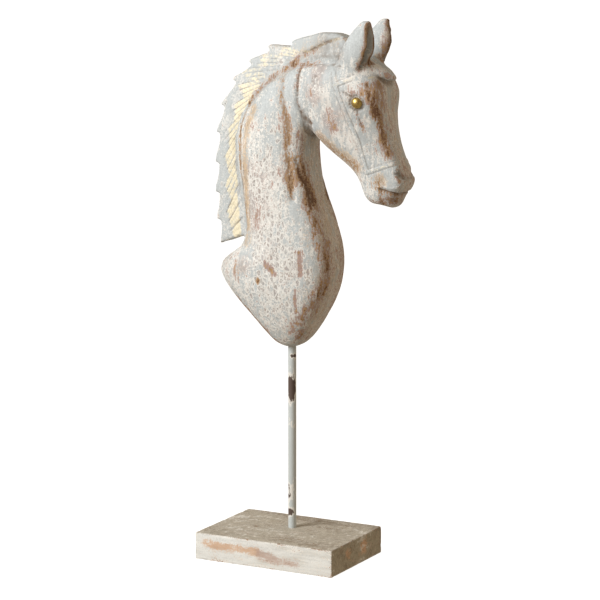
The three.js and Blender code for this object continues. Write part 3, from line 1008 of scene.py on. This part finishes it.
def crackled(graph, place, scale, chance, shown, floors):
    """Breaks a coat into small cells with pale rims, some of them worn to the floor below."""
    lot = graph.node("ShaderNodeSeparateColor", None, {"Color": graph.cells(place, scale).out("Color")})
    rim = CELL_RIM[0] + CELL_RIM[1] * lot.out("Green")
    inside = graph.step(graph.cells(place, scale, "DISTANCE_TO_EDGE"), rim, rim + CELL_WALL)
    chosen = graph.step(lot + chance, *CELL_CHOSEN)
    shown = graph.blend(RIM_WHITE * chosen * (1 - inside), shown, WHITE_COAT)
    opened = chosen * inside * graph.step(lot.out("Green"), *CELL_LOST)
    share = opened * (LOST_SHARE[0] + LOST_SHARE[1] * lot.out("Blue"))
    return graph.blend(share, shown, graph.blend(lot.out("Blue"), *floors)), opened


def mixed(parts, shares):
    """The sum of named parts, each taken by its share."""
    return sum(parts[name] * share for name, share in shares.items())


print("cells with rims from", CELL_RIM[0], "to", sum(CELL_RIM), "of a cell")

# %% [markdown]
# ## Noise for the paint
# Wear is uneven at every size at once: broad clouds, patches, upright flakes, the wood's grain and
# fine specks. Each is a noise of its own scale, detail and roughness, some of them stretched
# upright, as the wood's grain runs. They are mixed by recipes of named shares.

# %% Make the noises and the recipes
PATCH_STRETCH = (1, 1, 0.6)
PATCH_STRAY = (170, 6 * MM)
FLAKE_STRETCH = (1, 1, 0.35)
GRAIN_STRETCH = (1, 1, 0.12)
HUE_SHIFT = (0.3, 0.7, 0.1)
BROAD = (24, 3)
HUE = (30, 4)
PATCH = (85, 8, 0.7)
FLAKE = (210, 6, 0.7)
GRAIN = (480, 4)
FINE = (500, 5, 0.7)
SPECK = (1000, 2)
LEAF = (300, 5, 0.65)
WHITE_MIX = {"broad": 1.6, "patch": 1.2, "flake": 1.8, "fine": 2.0}
ROSY_MIX = {"hue": 1.0, "patch": 0.5, "fine": 0.6}
CELL_MIX = {"hue": 1.4, "patch": 0.3}
WASH_AND_SHADE_MIX = {"patch": 1.5, "fine": 1.5, "flake": 1.0}
WEAR_MIX = {"broad": 0.5, "patch": 1.0, "flake": 0.6, "fine": 0.5, "grain": 0.6}
RAGGED_MIX = {"grain": 2.5, "fine": 3.0, "flake": 2.0}
SHADE_MIX = {"fine": 0.7, "speck": 0.3, "grain": 0.5}
LEAF_MIX = {"leaf": 1.8, "patch": 1.6}
BUMP_MIX = {"fine": 1.0, "speck": 0.5}


def paint_noises(graph, place):
    """The noises that the paint is mixed from, by name."""
    upright = strayed(graph, graph.stretched(place, PATCH_STRETCH), *PATCH_STRAY)
    return {
        "broad": graph.ripple(upright, *BROAD),
        "hue": graph.ripple(graph.vector("ADD", upright, HUE_SHIFT), *HUE),
        "patch": graph.ripple(upright, *PATCH),
        "flake": graph.ripple(graph.stretched(upright, FLAKE_STRETCH), *FLAKE),
        "grain": graph.ripple(graph.stretched(place, GRAIN_STRETCH), *GRAIN),
        "fine": graph.ripple(place, *FINE),
        "speck": graph.ripple(place, *SPECK),
        "leaf": graph.ripple(place, *LEAF),
    }


print("recipes use", sorted({name for mix in (WHITE_MIX, WEAR_MIX, SHADE_MIX, LEAF_MIX) for name in mix}))

# %% [markdown]
# ## The horse's outer skin
# The outer skin is thin white over grey, so it shows as a mottle of both, with a rosy bloom where
# the mauve below shines through. On the neck it has crackled into cells of two sizes, and tan
# washes lie over it in places; where it faces forward, away from the lamp, the tan is partly
# painted shade. The head is calmer and less crackled.

# %% Mix the outer skin
GREY_COAT = colour("#B6BDBF")
PIT_FLOOR = colour("#A19D99")
TAN_WASH_AND_SHADE = colour("#BFA582")
HEAD_CALM = 1.1
MANE_CALM = 0.4
WHITE_EDGE = (-0.04, 0.26)
MAUVE_PULL = 0.5
ROSY_EDGE = (0.06, 0.3)
ROSY_SHARE = 0.5
CELL_STRETCH = (1, 1, 0.65)
CELL_STRAY = (300, 1.5 * MM)
CELL_SCALE = 270
SMALL_CELL_SCALE = 560
SMALL_CHANCE = 0.5
CRACKLE_PULL = 0.8
CELL_CHANCE = 0.05
HEAD_WHOLE = 0.25
WASH_AND_SHADE_EDGE = (0.2, 0.8)
WASH_AND_SHADE_SHARE = 0.75
GRAIN_SHADE = 1.2
WHITE_RISE = 0.3
CELL_DROP = 0.7
SMALL_CELL_DROP = 0.4


def outer_skin(graph, noises, place, under):
    """The colour of the outer skin over the coat below it, and how high it stands."""
    head = graph.kept("head")
    grey = graph.kept("grey")
    mane = graph.kept("on_mane")
    bare = 1 - mane
    whiteness = mixed(noises, WHITE_MIX) - HEAD_CALM * head * noises["fine"] - grey
    thin_white = graph.step(whiteness, *WHITE_EDGE) * (1 - MANE_CALM * mane)
    skin = graph.blend(thin_white, GREY_COAT, WHITE_COAT)
    rosy = graph.step(mixed(noises, ROSY_MIX) + MAUVE_PULL * graph.kept("mauve"), *ROSY_EDGE)
    skin = graph.blend(ROSY_SHARE * rosy * bare, skin, under)
    chance = mixed(noises, CELL_MIX) + CRACKLE_PULL * graph.kept("crackle") + CELL_CHANCE
    chance = (chance - HEAD_WHOLE * head - grey) * bare
    cells = strayed(graph, graph.stretched(place, CELL_STRETCH), *CELL_STRAY)
    skin, opened = crackled(graph, cells, CELL_SCALE, chance, skin, (under, PIT_FLOOR))
    floors = (GREY_COAT, under)
    skin, small_opened = crackled(graph, cells, SMALL_CELL_SCALE, SMALL_CHANCE * chance, skin, floors)
    # The tan wash, which on what faces forward is partly painted shade.
    washed_and_shaded = graph.step(graph.kept("tan_wash_and_front_shade") + mixed(noises, WASH_AND_SHADE_MIX), *WASH_AND_SHADE_EDGE)
    wash_and_shade_colour = graph.scaled(TAN_WASH_AND_SHADE[:3], 1 + GRAIN_SHADE * noises["grain"])
    height = WHITE_RISE * thin_white - CELL_DROP * opened - SMALL_CELL_DROP * small_opened
    return graph.blend(WASH_AND_SHADE_SHARE * washed_and_shaded, skin, wash_and_shade_colour), height


print("cells to a metre:", CELL_SCALE, "and", SMALL_CELL_SCALE)

# %% [markdown]
# ## Gold, dirt and painted shade
# Gold leaf lies on the strands and the bands, thin and broken, and leaves the slits between the
# strands bare. Dirt and painted shade go on last, as one dark brown: in the hollows that were found,
# along the cuts that were drawn, around the eye studs, in the ear scoops and in the slits of the
# mane. Part of it is dirt, and part is shade painted where these recesses fall dark.

# %% Lay the gold, the dirt and the painted shade
GOLD_LEAF = colour("#EFE4C2")
DIRT_AND_SHADE_BROWN = colour("#6B5845")
STRAND_HALF = 0.5
SLIT_BARE = 0.3
SLIT_SIDE = (0.2, 0.08)
GILT_EDGE = (0.35, 1.0)
GILT_SHARE = 0.75
GILT_SHADE = 0.8
SLIT_FLOOR = (0.09, 0.03)
SLIT_GILT = (0.1, 0.4)
SLIT_CLOUD = (70, 2)
SLIT_CLOUD_EDGE = (0.35, 0.6)
SLIT_DIRT = 0.4
HOLLOW_DIRT_AND_SHADE = 0.6
DIRT_CLOUD = (300, 3)
DIRT_CLOUD_EDGE = (0.2, 0.6)
MOST_DIRT = 0.85


def gilded(graph, noises, shown):
    """A colour with gold leaf laid over it, and the share of the gold."""
    strand = graph.math("PINGPONG", graph.kept("hair_across"), STRAND_HALF)
    leaf = graph.kept("gold") + mixed(noises, LEAF_MIX)
    leaf = leaf - SLIT_BARE * graph.kept("on_mane") * graph.step(strand, *SLIT_SIDE)
    share = GILT_SHARE * graph.step(leaf, *GILT_EDGE)
    gold = graph.scaled(GOLD_LEAF[:3], 1 + GILT_SHADE * noises["fine"])
    return graph.blend(share, shown, gold), share


def soiled_and_shaded(graph, place, shown):
    """A colour with grime and painted shade laid over it."""
    mane = graph.kept("on_mane")
    strand = graph.math("PINGPONG", graph.kept("hair_across"), STRAND_HALF)
    slit = graph.step(strand, *SLIT_FLOOR) * mane * graph.step(graph.kept("gold"), *SLIT_GILT)
    slit = slit * graph.step(graph.noise(place, *SLIT_CLOUD), *SLIT_CLOUD_EDGE)
    # Dark in the hollows and along the drawn lines: dirt and painted shade.
    dirt_and_shade = HOLLOW_DIRT_AND_SHADE * graph.kept("dirt_and_shade_in_hollows") * (1 - MANE_CALM * mane) + graph.kept("drawn_dirt_and_shade")
    dirt_and_shade = dirt_and_shade * graph.step(graph.noise(place, *DIRT_CLOUD), *DIRT_CLOUD_EDGE)
    return graph.blend(graph.math("MINIMUM", dirt_and_shade + SLIT_DIRT * slit, MOST_DIRT), shown, DIRT_AND_SHADE_BROWN)


print("gold covers up to", GILT_SHARE, "and dirt up to", MOST_DIRT, "of what is below")

# %% [markdown]
# ## Paint that has worn through
# Under the outer skin lie a white ground, a mauve or tan coat, bare wood and, in the deepest
# streaks, old dark wood. The depth of wear is the sum of the noises and the maps. The drawn wear
# is made ragged by noise that grows with it, so streaks break up and clean paint stays clean.

# %% Mix the worn paint
MAUVE_COAT = colour("#A58F87")
TAN_WOOD = colour("#A28560")
DARK_WOOD = colour("#6C4E36")
PAINT_DEPTHS = (0.48, 0.54, 0.74, 0.92)
PAINT_STEP = 0.3 * MM
PAINT_BUMP = 0.9
WEAR_BASE = 0.28
WARM_SHARE = 0.8
RIDGE_WORN = 0.2
RIDGE_SPARED = 0.6
HAIR_LINES = 3
HAIR_WANDER = 1.2
HAIR_CLOUD = (90, 2)
HAIR_RISE = 0.4
PAINT_ROUGHNESS = 0.6
DEPTH_ROUGHNESS = 0.16
FINE_ROUGHNESS = 0.3
GILT_ROUGHNESS = -0.14
GILT_METAL = 0.15


def painted_wood_finish():
    material, graph, shader = finish_named("worn_paint_on_wood")
    place = graph.place()
    noises = paint_noises(graph, place)
    mane = graph.kept("on_mane")
    tan = graph.scaled(TAN_WOOD[:3], 1 + GRAIN_SHADE * noises["grain"])
    under = graph.blend(WARM_SHARE * graph.kept("warm"), MAUVE_COAT, tan)
    skin, skin_height = outer_skin(graph, noises, place, under)
    wear = WEAR_BASE + mixed(noises, WEAR_MIX) + graph.kept("chips")
    wear = wear + graph.kept("worn") * (1 + mixed(noises, RAGGED_MIX))
    wear = wear + RIDGE_WORN * graph.kept("ridge") * (1 - RIDGE_SPARED * mane)
    shown, depth = layered(graph, wear, PAINT_DEPTHS, [skin, WHITE_COAT, under, tan, DARK_WOOD])
    shown = graph.scaled(shown, 1 + mixed(noises, SHADE_MIX) * (1 - MANE_CALM * mane))
    shown, gilt = gilded(graph, noises, shown)
    # Dirt and painted shade go on last.
    shown = soiled_and_shaded(graph, place, shown)
    wander = HAIR_WANDER * graph.noise(place, *HAIR_CLOUD)
    hair = graph.math("PINGPONG", graph.kept("hair_across") * HAIR_LINES + wander, STRAND_HALF)
    height = mixed(noises, BUMP_MIX) - depth + skin_height + HAIR_RISE * mane * hair
    roughness = PAINT_ROUGHNESS + DEPTH_ROUGHNESS * depth + FINE_ROUGHNESS * noises["fine"]
    set_shader(graph, shader, {
        "Base Color": shown,
        "Roughness": roughness + GILT_ROUGHNESS * gilt,
        "Metallic": GILT_METAL * gilt,
        "Normal": graph.bump(height, PAINT_STEP, PAINT_BUMP),
    })
    return material


paint = painted_wood_finish()
print("paint nodes:", len(paint.node_tree.nodes))

# %% [markdown]
# ## Tool marks
# Nothing cut by hand is quite even. A small tree of Geometry Nodes pushes the skin in and out by
# a fraction of a millimetre: wide, flat facets from the scraper and small dents from use. The same
# nodes serve the rod and the block later, inside trees of their own.

# %% Build the tool mark tree
def number_input(tree, name, value):
    socket = tree.interface.new_socket(name, in_out="INPUT", socket_type="NodeSocketFloat")
    socket.default_value = value
    return socket.identifier


def new_tree(name, sizes):
    """An empty Geometry Nodes tree with named number inputs, and the identifiers of its inputs."""
    tree = bpy.data.node_groups.new(name, "GeometryNodeTree")
    tree.interface.new_socket("Geometry", in_out="INPUT", socket_type="NodeSocketGeometry")
    tree.interface.new_socket("Geometry", in_out="OUTPUT", socket_type="NodeSocketGeometry")
    names = {label: number_input(tree, label, value) for label, value in sizes.items()}
    material = tree.interface.new_socket("Material", in_out="INPUT", socket_type="NodeSocketMaterial")
    names["Material"] = material.identifier
    return tree, names


def end_tree(graph, geometry, material):
    """Ends a tree as the export needs it: real geometry with its material set."""
    real = graph.node("GeometryNodeRealizeInstances", None, {0: geometry})
    dressed = graph.node("GeometryNodeSetMaterial", None, {"Geometry": real, "Material": material})
    graph.node("NodeGroupOutput", None, {0: dressed})


FACET_LEVEL = 0.5
DENT_DETAIL = 2
DENT_EDGE = (0.6, 0.75)
MARK_SIZES = {"Facet size": 12 * MM, "Facet depth": 0.5 * MM, "Dent size": 7 * MM, "Dent depth": 0.3 * MM}


def add_marks(graph, geometry, given):
    """Pushes a surface along its normals by scraper facets and by dents."""
    place = graph.node("GeometryNodeInputPosition")
    normal = graph.node("GeometryNodeInputNormal")
    facet = graph.cells(place, 1 / given("Facet size"), "SMOOTH_F1") - FACET_LEVEL
    dent = graph.step(graph.noise(place, 1 / given("Dent size"), DENT_DETAIL), *DENT_EDGE)
    push = facet * given("Facet depth") - dent * given("Dent depth")
    return graph.node("GeometryNodeSetPosition", None, {
        "Geometry": geometry, "Offset": graph.scaled(normal, push),
    })


def marks_tree():
    tree, names = new_tree("tool_marks", MARK_SIZES)
    graph = Graph(tree)
    entry = graph.node("NodeGroupInput")
    marked = add_marks(graph, entry, entry.out)
    end_tree(graph, marked, entry.out("Material"))
    return tree, names


def run_tree(piece, tree, names, values):
    """Runs a tree on a piece with these inputs, and keeps the result as a plain mesh."""
    modifier = piece.modifiers.new(tree.name, "NODES")
    modifier.node_group = tree
    for label, value in values.items():
        modifier[names[label]] = value
    settle(piece)


marks, mark_names = marks_tree()
run_tree(horse, marks, mark_names, {"Material": paint})
horse.data.shade_smooth()
horse.data.calc_loop_triangles()
print("painted horse:", len(horse.data.loop_triangles), "triangles")

# %% [markdown]
# ## The rod
# The rod is drawn steel. A line swept with a circle makes it in Geometry Nodes, from the same
# sizes as the solid, and the tool mark nodes give it the slight dents that break up its highlight.

# %% Sweep the rod
ROD_RINGS = 260
ROD_SIDES = 40
ROD_FACET = 0.05 * MM
ROD_DENT = 0.06 * MM


def rod_tree():
    sizes = {"Radius": rod_radius, "Foot": rod_low[2], "Top": rod_high[2], **MARK_SIZES}
    tree, names = new_tree("swept_rod", sizes)
    graph = Graph(tree)
    entry = graph.node("NodeGroupInput")
    foot = graph.node("ShaderNodeCombineXYZ", None, {"Z": entry.out("Foot")})
    top = graph.node("ShaderNodeCombineXYZ", None, {"Z": entry.out("Top")})
    line = graph.node("GeometryNodeCurvePrimitiveLine", None, {"Start": foot, "End": top})
    line = graph.node("GeometryNodeResampleCurve", None, {"Curve": line, "Count": ROD_RINGS})
    ring = graph.node("GeometryNodeCurvePrimitiveCircle", None, {
        "Resolution": ROD_SIDES, "Radius": entry.out("Radius"),
    })
    swept = graph.node("GeometryNodeCurveToMesh", None, {
        "Curve": line, "Profile Curve": ring, "Fill Caps": True,
    })
    end_tree(graph, add_marks(graph, swept, entry.out), entry.out("Material"))
    return tree, names


rod_swept, rod_names = rod_tree()
print("rod of %.1f mm radius, %.1f mm long" % (rod_radius / MM, (rod_high[2] - rod_low[2]) / MM))

# %% [markdown]
# ## The rod's paint
# The rod is painted pale grey and chipped to dark brown where things have knocked it. Each chip
# has a height above the floor, a reach up and down, the side it faces in degrees and an amount.
# The rod is swept at the origin, so it is moved to its own axis at the end.

# %% Paint the rod
ROD_COAT = colour("#BFC7C8")
ROD_CREAM = colour("#E1E1DC")
ROD_RUST = colour("#54463F")
ROD_DEPTHS = (0.44, 0.56)
ROD_STRETCH = (1, 1, 0.4)
ROD_NOISES = {"patch": (150, 5, 0.6), "fine": (700, 5, 0.6), "cloud": (60, 4)}
ROD_MIX = {"patch": 0.9, "fine": 0.4}
ROD_WORN = 0.24
ROD_SHADE = 0.24
ROD_GRIT = 0.3
ROD_STEP = 0.15 * MM
ROD_BUMP = 0.8
ROD_ROUGHNESS = (0.36, 0.3)
CHIP_WRAP = 0.4
ROD_CHIPS = [
    (169.5, 12, 265, 0.62), (137, 20, 275, 0.15), (62, 13, 268, 0.25), (43, 5, 262, 0.42),
    (199, 2.5, 325, 0.36),
]


def painted_steel_finish():
    material, graph, shader = finish_named("chipped_paint_on_steel")
    upright = graph.stretched(graph.place(), ROD_STRETCH)
    noises = {name: graph.ripple(upright, *texture) for name, texture in ROD_NOISES.items()}
    wear = ROD_WORN + mixed(noises, ROD_MIX) + graph.kept("worn")
    shown, depth = layered(graph, wear, ROD_DEPTHS, [ROD_COAT, ROD_CREAM, ROD_RUST])
    height = ROD_GRIT * noises["fine"] - depth
    set_shader(graph, shader, {
        "Base Color": graph.scaled(shown, 1 + ROD_SHADE * noises["cloud"]),
        "Roughness": ROD_ROUGHNESS[0] + ROD_ROUGHNESS[1] * depth,
        "Normal": graph.bump(height, ROD_STEP, ROD_BUMP),
    })
    return material


rod = plain_object("painted_rod", bpy.data.meshes.new("painted_rod"))
steel = painted_steel_finish()
run_tree(rod, rod_swept, rod_names, {"Facet depth": ROD_FACET, "Dent depth": ROD_DENT, "Material": steel})
points = skin_points(rod.data) + rod_axis / MM
chips = np.zeros(len(points))
turn = np.arctan2(points[:, 1], points[:, 0])
for height, reach, side, amount in ROD_CHIPS:
    facing = np.clip(np.cos(turn - math.radians(side)) + CHIP_WRAP, 0, 1)
    chips += amount * bell(points[:, 2] - height, reach) * facing
keep_map(rod.data, "worn", chips)
move_points(rod.data, points)
rod.data.shade_smooth()
print("painted rod:", len(rod.data.polygons), "faces, worn up to %.2f" % chips.max())

# %% [markdown]
# ## The block
# The block is sawn wood with crisp edges that have lost small chips. A finely divided box is drawn
# in to a rounding that changes from place to place along the edges, and the rod's hole is cut out
# of it. Noise picks the places, so no two edges are chipped alike.

# %% Wear the block's edges
BLOCK_GRID = 1.3
BLOCK_ROUND = 0.5 * MM
BLOCK_CHIP = 1.6 * MM
BLOCK_FACET = 0.12 * MM
BLOCK_DENT = 0.12 * MM
CHIP_CLOUD = (110, 4)
CHIP_EDGE = (0.5, 0.75)
HOLE_CLEARANCE = 0.3 * MM

block_low, block_high = (np.array(corner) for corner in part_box("block"))
block_size = block_high - block_low
block_middle = (block_low + block_high) / 2
block_counts = [int(round(side / MM / BLOCK_GRID)) + 1 for side in block_size]


def block_tree():
    tree, names = new_tree("worn_block", {
        "Rounding": BLOCK_ROUND,
        "Chips": BLOCK_CHIP,
        "Hole radius": rod_radius + HOLE_CLEARANCE,
        "Hole depth": block_high[2] - rod_low[2] + HOLE_CLEARANCE,
        **MARK_SIZES,
    })
    graph = Graph(tree)
    entry = graph.node("NodeGroupInput")
    cube = graph.node("GeometryNodeMeshCube", None, {
        "Size": tuple(block_size), "Vertices X": block_counts[0],
        "Vertices Y": block_counts[1], "Vertices Z": block_counts[2],
    })
    place = graph.node("GeometryNodeInputPosition")
    chipped = graph.step(graph.noise(place, *CHIP_CLOUD), *CHIP_EDGE)
    radius = entry.out("Rounding") + entry.out("Chips") * chipped
    corner = graph.vector("SUBTRACT", tuple(block_size / 2), graph.node("ShaderNodeCombineXYZ", None, {
        "X": radius, "Y": radius, "Z": radius,
    }))
    inner = graph.vector("MINIMUM", graph.vector("MAXIMUM", place, graph.scaled(corner, -1)), corner)
    outward = graph.vector("NORMALIZE", graph.vector("SUBTRACT", place, inner))
    rounded = graph.vector("ADD", inner, graph.scaled(outward, radius))
    worn = graph.node("GeometryNodeSetPosition", None, {"Geometry": cube, "Position": rounded})
    marked = add_marks(graph, worn, entry.out)
    placed = graph.node("GeometryNodeTransform", None, {
        "Geometry": marked, "Translation": tuple(block_middle),
    })
    bar = graph.node("GeometryNodeMeshCylinder", None, {
        "Vertices": ROD_SIDES, "Radius": entry.out("Hole radius"), "Depth": entry.out("Hole depth") * 2,
    })
    bar = graph.node("GeometryNodeTransform", None, {
        "Geometry": bar, "Translation": (rod_axis[0], rod_axis[1], block_high[2]),
    })
    holed = graph.node("GeometryNodeMeshBoolean", {"operation": "DIFFERENCE", "solver": "EXACT"}, {
        "Mesh 1": placed, "Mesh 2": bar,
    })
    end_tree(graph, holed, entry.out("Material"))
    return tree, names


block_worn, block_names = block_tree()
print("block of", [round(side / MM, 1) for side in block_size], "mm in", block_counts, "points")

# %% [markdown]
# ## The block's paint
# The long sides are painted cream, the top is rubbed to a grey beige with brown grain, and the
# ends are darker. It is layered as the horse's paint is, with noise drawn out along the block,
# as its grain runs. Stains of orange and pink lie where they are drawn.

# %% Mix the block's paint
BLOCK_TOP = colour("#B3AD9F")
BLOCK_SIDE = colour("#E1E3E0")
BLOCK_GREY = colour("#C9C5B8")
BLOCK_END = colour("#A39B86")
BLOCK_CREAM = colour("#F0F0EB")
BLOCK_PINK = colour("#BBA396")
BLOCK_BROWN = colour("#7F705C")
BLOCK_ORANGE = colour("#CFA681")
BLOCK_DEPTHS = (0.4, 0.54, 0.64)
LENGTH_STRETCH = (0.35, 1, 1)
LENGTH_STRAY = (200, 5 * MM)
STREAK_STRETCH = (0.12, 1, 1)
RUB_STRETCH = (1, 0.6, 1)
BLOCK_STREAK = (380, 6, 0.65)
BLOCK_BROAD = (30, 3)
BLOCK_PATCH = (120, 8, 0.7)
BLOCK_FINE = (560, 6, 0.7)
BLOCK_RUB = (190, 5, 0.7)
BLOCK_WEAR_MIX = {"broad": 0.6, "patch": 1.0, "streak": 0.8, "fine": 0.9}
DULL_MIX = {"broad": 2.0, "patch": 1.0, "fine": 1.0}
STAIN_MIX = {"patch": 3.0, "fine": 2.0}
DARK_MIX = {"streak": 1.5, "fine": 2.5, "patch": 1.0}
RUB_MIX = {"rubbed": 1.0, "broad": 1.0}
BLOCK_SHADE_MIX = {"streak": 0.7, "fine": 0.9}
BLOCK_BUMP_MIX = {"streak": 0.8, "fine": 0.6}
BLOCK_WEAR = 0.3
TOP_WORN = 0.04
EDGE_WORN = 0.16
DULL_EDGE = (-0.1, 0.4)
DULL_SHARE = 0.9
TOP_PALE = 0.7
TONE_EDGE = (-0.1, 0.1)
STAIN_EDGE = (0.3, 0.95)
STAIN_SHARE = 0.8
DARK_EDGE = (0.06, 0.4)
DARK_SHARE = 0.3
RUB_SHARE = 0.5
RUBBED_BROWN = (0.02, 0.2)
RUBBED_PALE = (-0.05, -0.2)
BLOCK_STEP = 0.25 * MM
BLOCK_BUMP = 0.8
BLOCK_ROUGHNESS = (0.62, 0.15)


def block_noises(graph, place):
    """The noises that the block's paint is mixed from, by name."""
    lengthwise = strayed(graph, graph.stretched(place, LENGTH_STRETCH), *LENGTH_STRAY)
    return {
        "streak": graph.ripple(graph.stretched(place, STREAK_STRETCH), *BLOCK_STREAK),
        "broad": graph.ripple(lengthwise, *BLOCK_BROAD),
        "patch": graph.ripple(lengthwise, *BLOCK_PATCH),
        "fine": graph.ripple(place, *BLOCK_FINE),
        "rubbed": graph.ripple(graph.stretched(place, RUB_STRETCH), *BLOCK_RUB),
    }


def block_coats(graph, noises, top, end):
    """The block's coats, from the outer one down."""
    dulled = graph.step(mixed(noises, DULL_MIX), *DULL_EDGE)
    skin = graph.blend(DULL_SHARE * dulled, BLOCK_SIDE, BLOCK_GREY)
    skin = graph.blend(end, graph.blend(top, skin, BLOCK_TOP), BLOCK_END)
    pale = graph.blend(end + TOP_PALE * top, BLOCK_CREAM, skin)
    rosy = graph.blend(top, BLOCK_PINK, BLOCK_BROWN)
    tone = graph.blend(graph.step(noises["broad"], *TONE_EDGE), BLOCK_BROWN, BLOCK_ORANGE)
    return [skin, pale, rosy, graph.blend(top, tone, BLOCK_BROWN)]


def painted_block_finish():
    material, graph, shader = finish_named("rubbed_paint_on_block")
    noises = block_noises(graph, graph.place())
    top = graph.kept("top")
    end = graph.kept("end")
    flat = top + end
    wear = BLOCK_WEAR + mixed(noises, BLOCK_WEAR_MIX) + TOP_WORN * top + EDGE_WORN * graph.kept("edge")
    shown, depth = layered(graph, wear, BLOCK_DEPTHS, block_coats(graph, noises, top, end))
    for name, stain in (("orange", BLOCK_ORANGE), ("pink", BLOCK_PINK)):
        spread = graph.step(graph.kept(name) + mixed(noises, STAIN_MIX), *STAIN_EDGE)
        shown = graph.blend(STAIN_SHARE * spread, shown, stain)
    dark = graph.step(mixed(noises, DARK_MIX), *DARK_EDGE) * DARK_SHARE * (1 + top)
    shown = graph.blend(dark, shown, BLOCK_BROWN)
    for edge, tint in ((RUBBED_BROWN, BLOCK_BROWN), (RUBBED_PALE, BLOCK_CREAM)):
        rubbed = graph.step(mixed(noises, RUB_MIX), *edge)
        shown = graph.blend(RUB_SHARE * flat * rubbed, shown, tint)
    shown = graph.scaled(shown, 1 + (1 + flat) * mixed(noises, BLOCK_SHADE_MIX))
    height = mixed(noises, BLOCK_BUMP_MIX) - depth
    set_shader(graph, shader, {
        "Base Color": shown,
        "Roughness": BLOCK_ROUGHNESS[0] + BLOCK_ROUGHNESS[1] * depth,
        "Normal": graph.bump(height, BLOCK_STEP, BLOCK_BUMP),
    })
    return material


block_paint = painted_block_finish()
print("block paint nodes:", len(block_paint.node_tree.nodes))

# %% [markdown]
# ## The block's stains
# The finish has to know which face it is on and where the stains are. Those on the long sides are
# drawn as seen from the front of each, so the one isn't a mirror image of the other. Those on the
# ends are drawn once, for both.

# %% Make the block and keep its maps
ORANGE_STREAK = [(-64, 17), (-40, 15.5), (-8, 15)]
PINK_STREAK = [(-2, 13), (18, 10), (36, 9.5)]
STREAK_WIDTH = 6
STREAK_AMOUNT = 0.9
END_SPOTS = [((14.6, 15.3), 8, 1.2), ((-18, 14), 7, 1.0)]
EDGE_WIDTH = 1.5
FACE_TURN = (0.5, 0.9)
BLOCK_CREASE = math.radians(55)


def block_maps(mesh):
    """Where the block's coats differ: its top, its ends, its edges and the stains on its sides."""
    points = skin_points(mesh) + rod_axis / MM
    normals = skin_normals(mesh)
    half = block_size / MM / 2
    inset = np.sort(half - np.abs(points - block_middle / MM), axis=1)[:, 1]
    end, long_side = ease(np.abs(normals[:, :2]), *FACE_TURN).T
    facing = np.sign(normals[:, 1:2])
    seen = points * np.hstack([-facing, facing, np.ones_like(facing)])
    turned = points[:, [1, 0, 2]]
    orange = drawn_map(seen, [(ORANGE_STREAK, STREAK_WIDTH, STREAK_AMOUNT)], []) * long_side
    return {
        "top": ease(normals[:, 2], *FACE_TURN),
        "end": end,
        "edge": bell(inset, EDGE_WIDTH),
        "orange": orange + drawn_map(turned, [], END_SPOTS) * end,
        "pink": drawn_map(seen, [(PINK_STREAK, STREAK_WIDTH, STREAK_AMOUNT)], []) * long_side,
    }


block = plain_object("painted_block", bpy.data.meshes.new("painted_block"))
run_tree(block, block_worn, block_names, {
    "Facet depth": BLOCK_FACET, "Dent depth": BLOCK_DENT, "Material": block_paint,
})
for name, values in block_maps(block.data).items():
    keep_map(block.data, name, values)
block.data.shade_smooth()
block.data.set_sharp_from_angle(angle=BLOCK_CREASE)
print("painted block:", len(block.data.polygons), "faces")

# %% [markdown]
# ## The eyes
# Each eye is a polished brass stud: a dome with a flat foot, set in its socket. Its size and place
# come from the solid. A profile turned about an axis gives it, as a lathe would.

# %% Turn the brass studs
STUD_STEPS = 14
STUD_SIDES = 48
BRASS = colour("#C6AE6C")
BRASS_DARK = colour("#80612F")
BRASS_CLOUD = (500, 4)
BRASS_STAIN = (0.45, 0.75)
BRASS_ROUGHNESS = (0.38, 0.2)


def brass_finish():
    material, graph, shader = finish_named("polished_brass")
    stain = graph.step(graph.noise(graph.place(), *BRASS_CLOUD), *BRASS_STAIN)
    set_shader(graph, shader, {
        "Base Color": graph.blend(stain, BRASS, BRASS_DARK),
        "Metallic": 1.0,
        "Roughness": BRASS_ROUGHNESS[0] + BRASS_ROUGHNESS[1] * stain,
    })
    return material


def turned_stud(node_name, piece_name, finish):
    low, high = (np.array(corner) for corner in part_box(node_name))
    middle = (low + high) / 2
    radius = (high[0] - low[0]) / 2
    tall = high[1] - low[1]
    outward = 1 if middle[1] > rod_axis[1] else -1
    foot = low[1] if outward > 0 else high[1]
    quarter = np.linspace(0, math.pi / 2, STUD_STEPS)
    profile = [(0, 0), *((radius * math.cos(a), tall * math.sin(a)) for a in quarter)]
    mesh = bpy.data.meshes.new(piece_name)
    work = bmesh.new()
    chain = [work.verts.new((middle[0] + r, foot + outward * h, middle[2])) for r, h in profile]
    edges = [work.edges.new(pair) for pair in zip(chain[:-1], chain[1:])]
    bmesh.ops.spin(
        work, geom=chain + edges, cent=(middle[0], foot, middle[2]), axis=(0, 1, 0),
        angle=2 * math.pi, steps=STUD_SIDES, use_merge=True,
    )
    bmesh.ops.remove_doubles(work, verts=work.verts, dist=WELD)
    bmesh.ops.recalc_face_normals(work, faces=work.faces)
    work.to_mesh(mesh)
    work.free()
    mesh.materials.append(finish)
    mesh.shade_smooth()
    return plain_object(piece_name, mesh)


brass = brass_finish()
studs = {side: turned_stud("eye_stud_" + side, "brass_eye_" + side, brass) for side in ("right", "left")}
print("brass eyes:", [len(stud.data.polygons) for stud in studs.values()], "faces")

# %% [markdown]
# ## What each piece stands for
# Nothing moves, so every piece rides on the one body. Each takes the place of its own solid, which
# is hidden, and the table gives the finish each one wears.

# %% Tie the pieces to the frame
PIECES = [
    (horse, "horse_carving", "painted_wood"),
    (studs["right"], "eye_stud_right", "eye_brass"),
    (studs["left"], "eye_stud_left", "eye_brass"),
    (rod, "rod", "rod_steel"),
    (block, "block", "block_wood"),
]
for piece, node_name, slot_name in PIECES:
    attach(piece, "root")
    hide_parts(node_name)
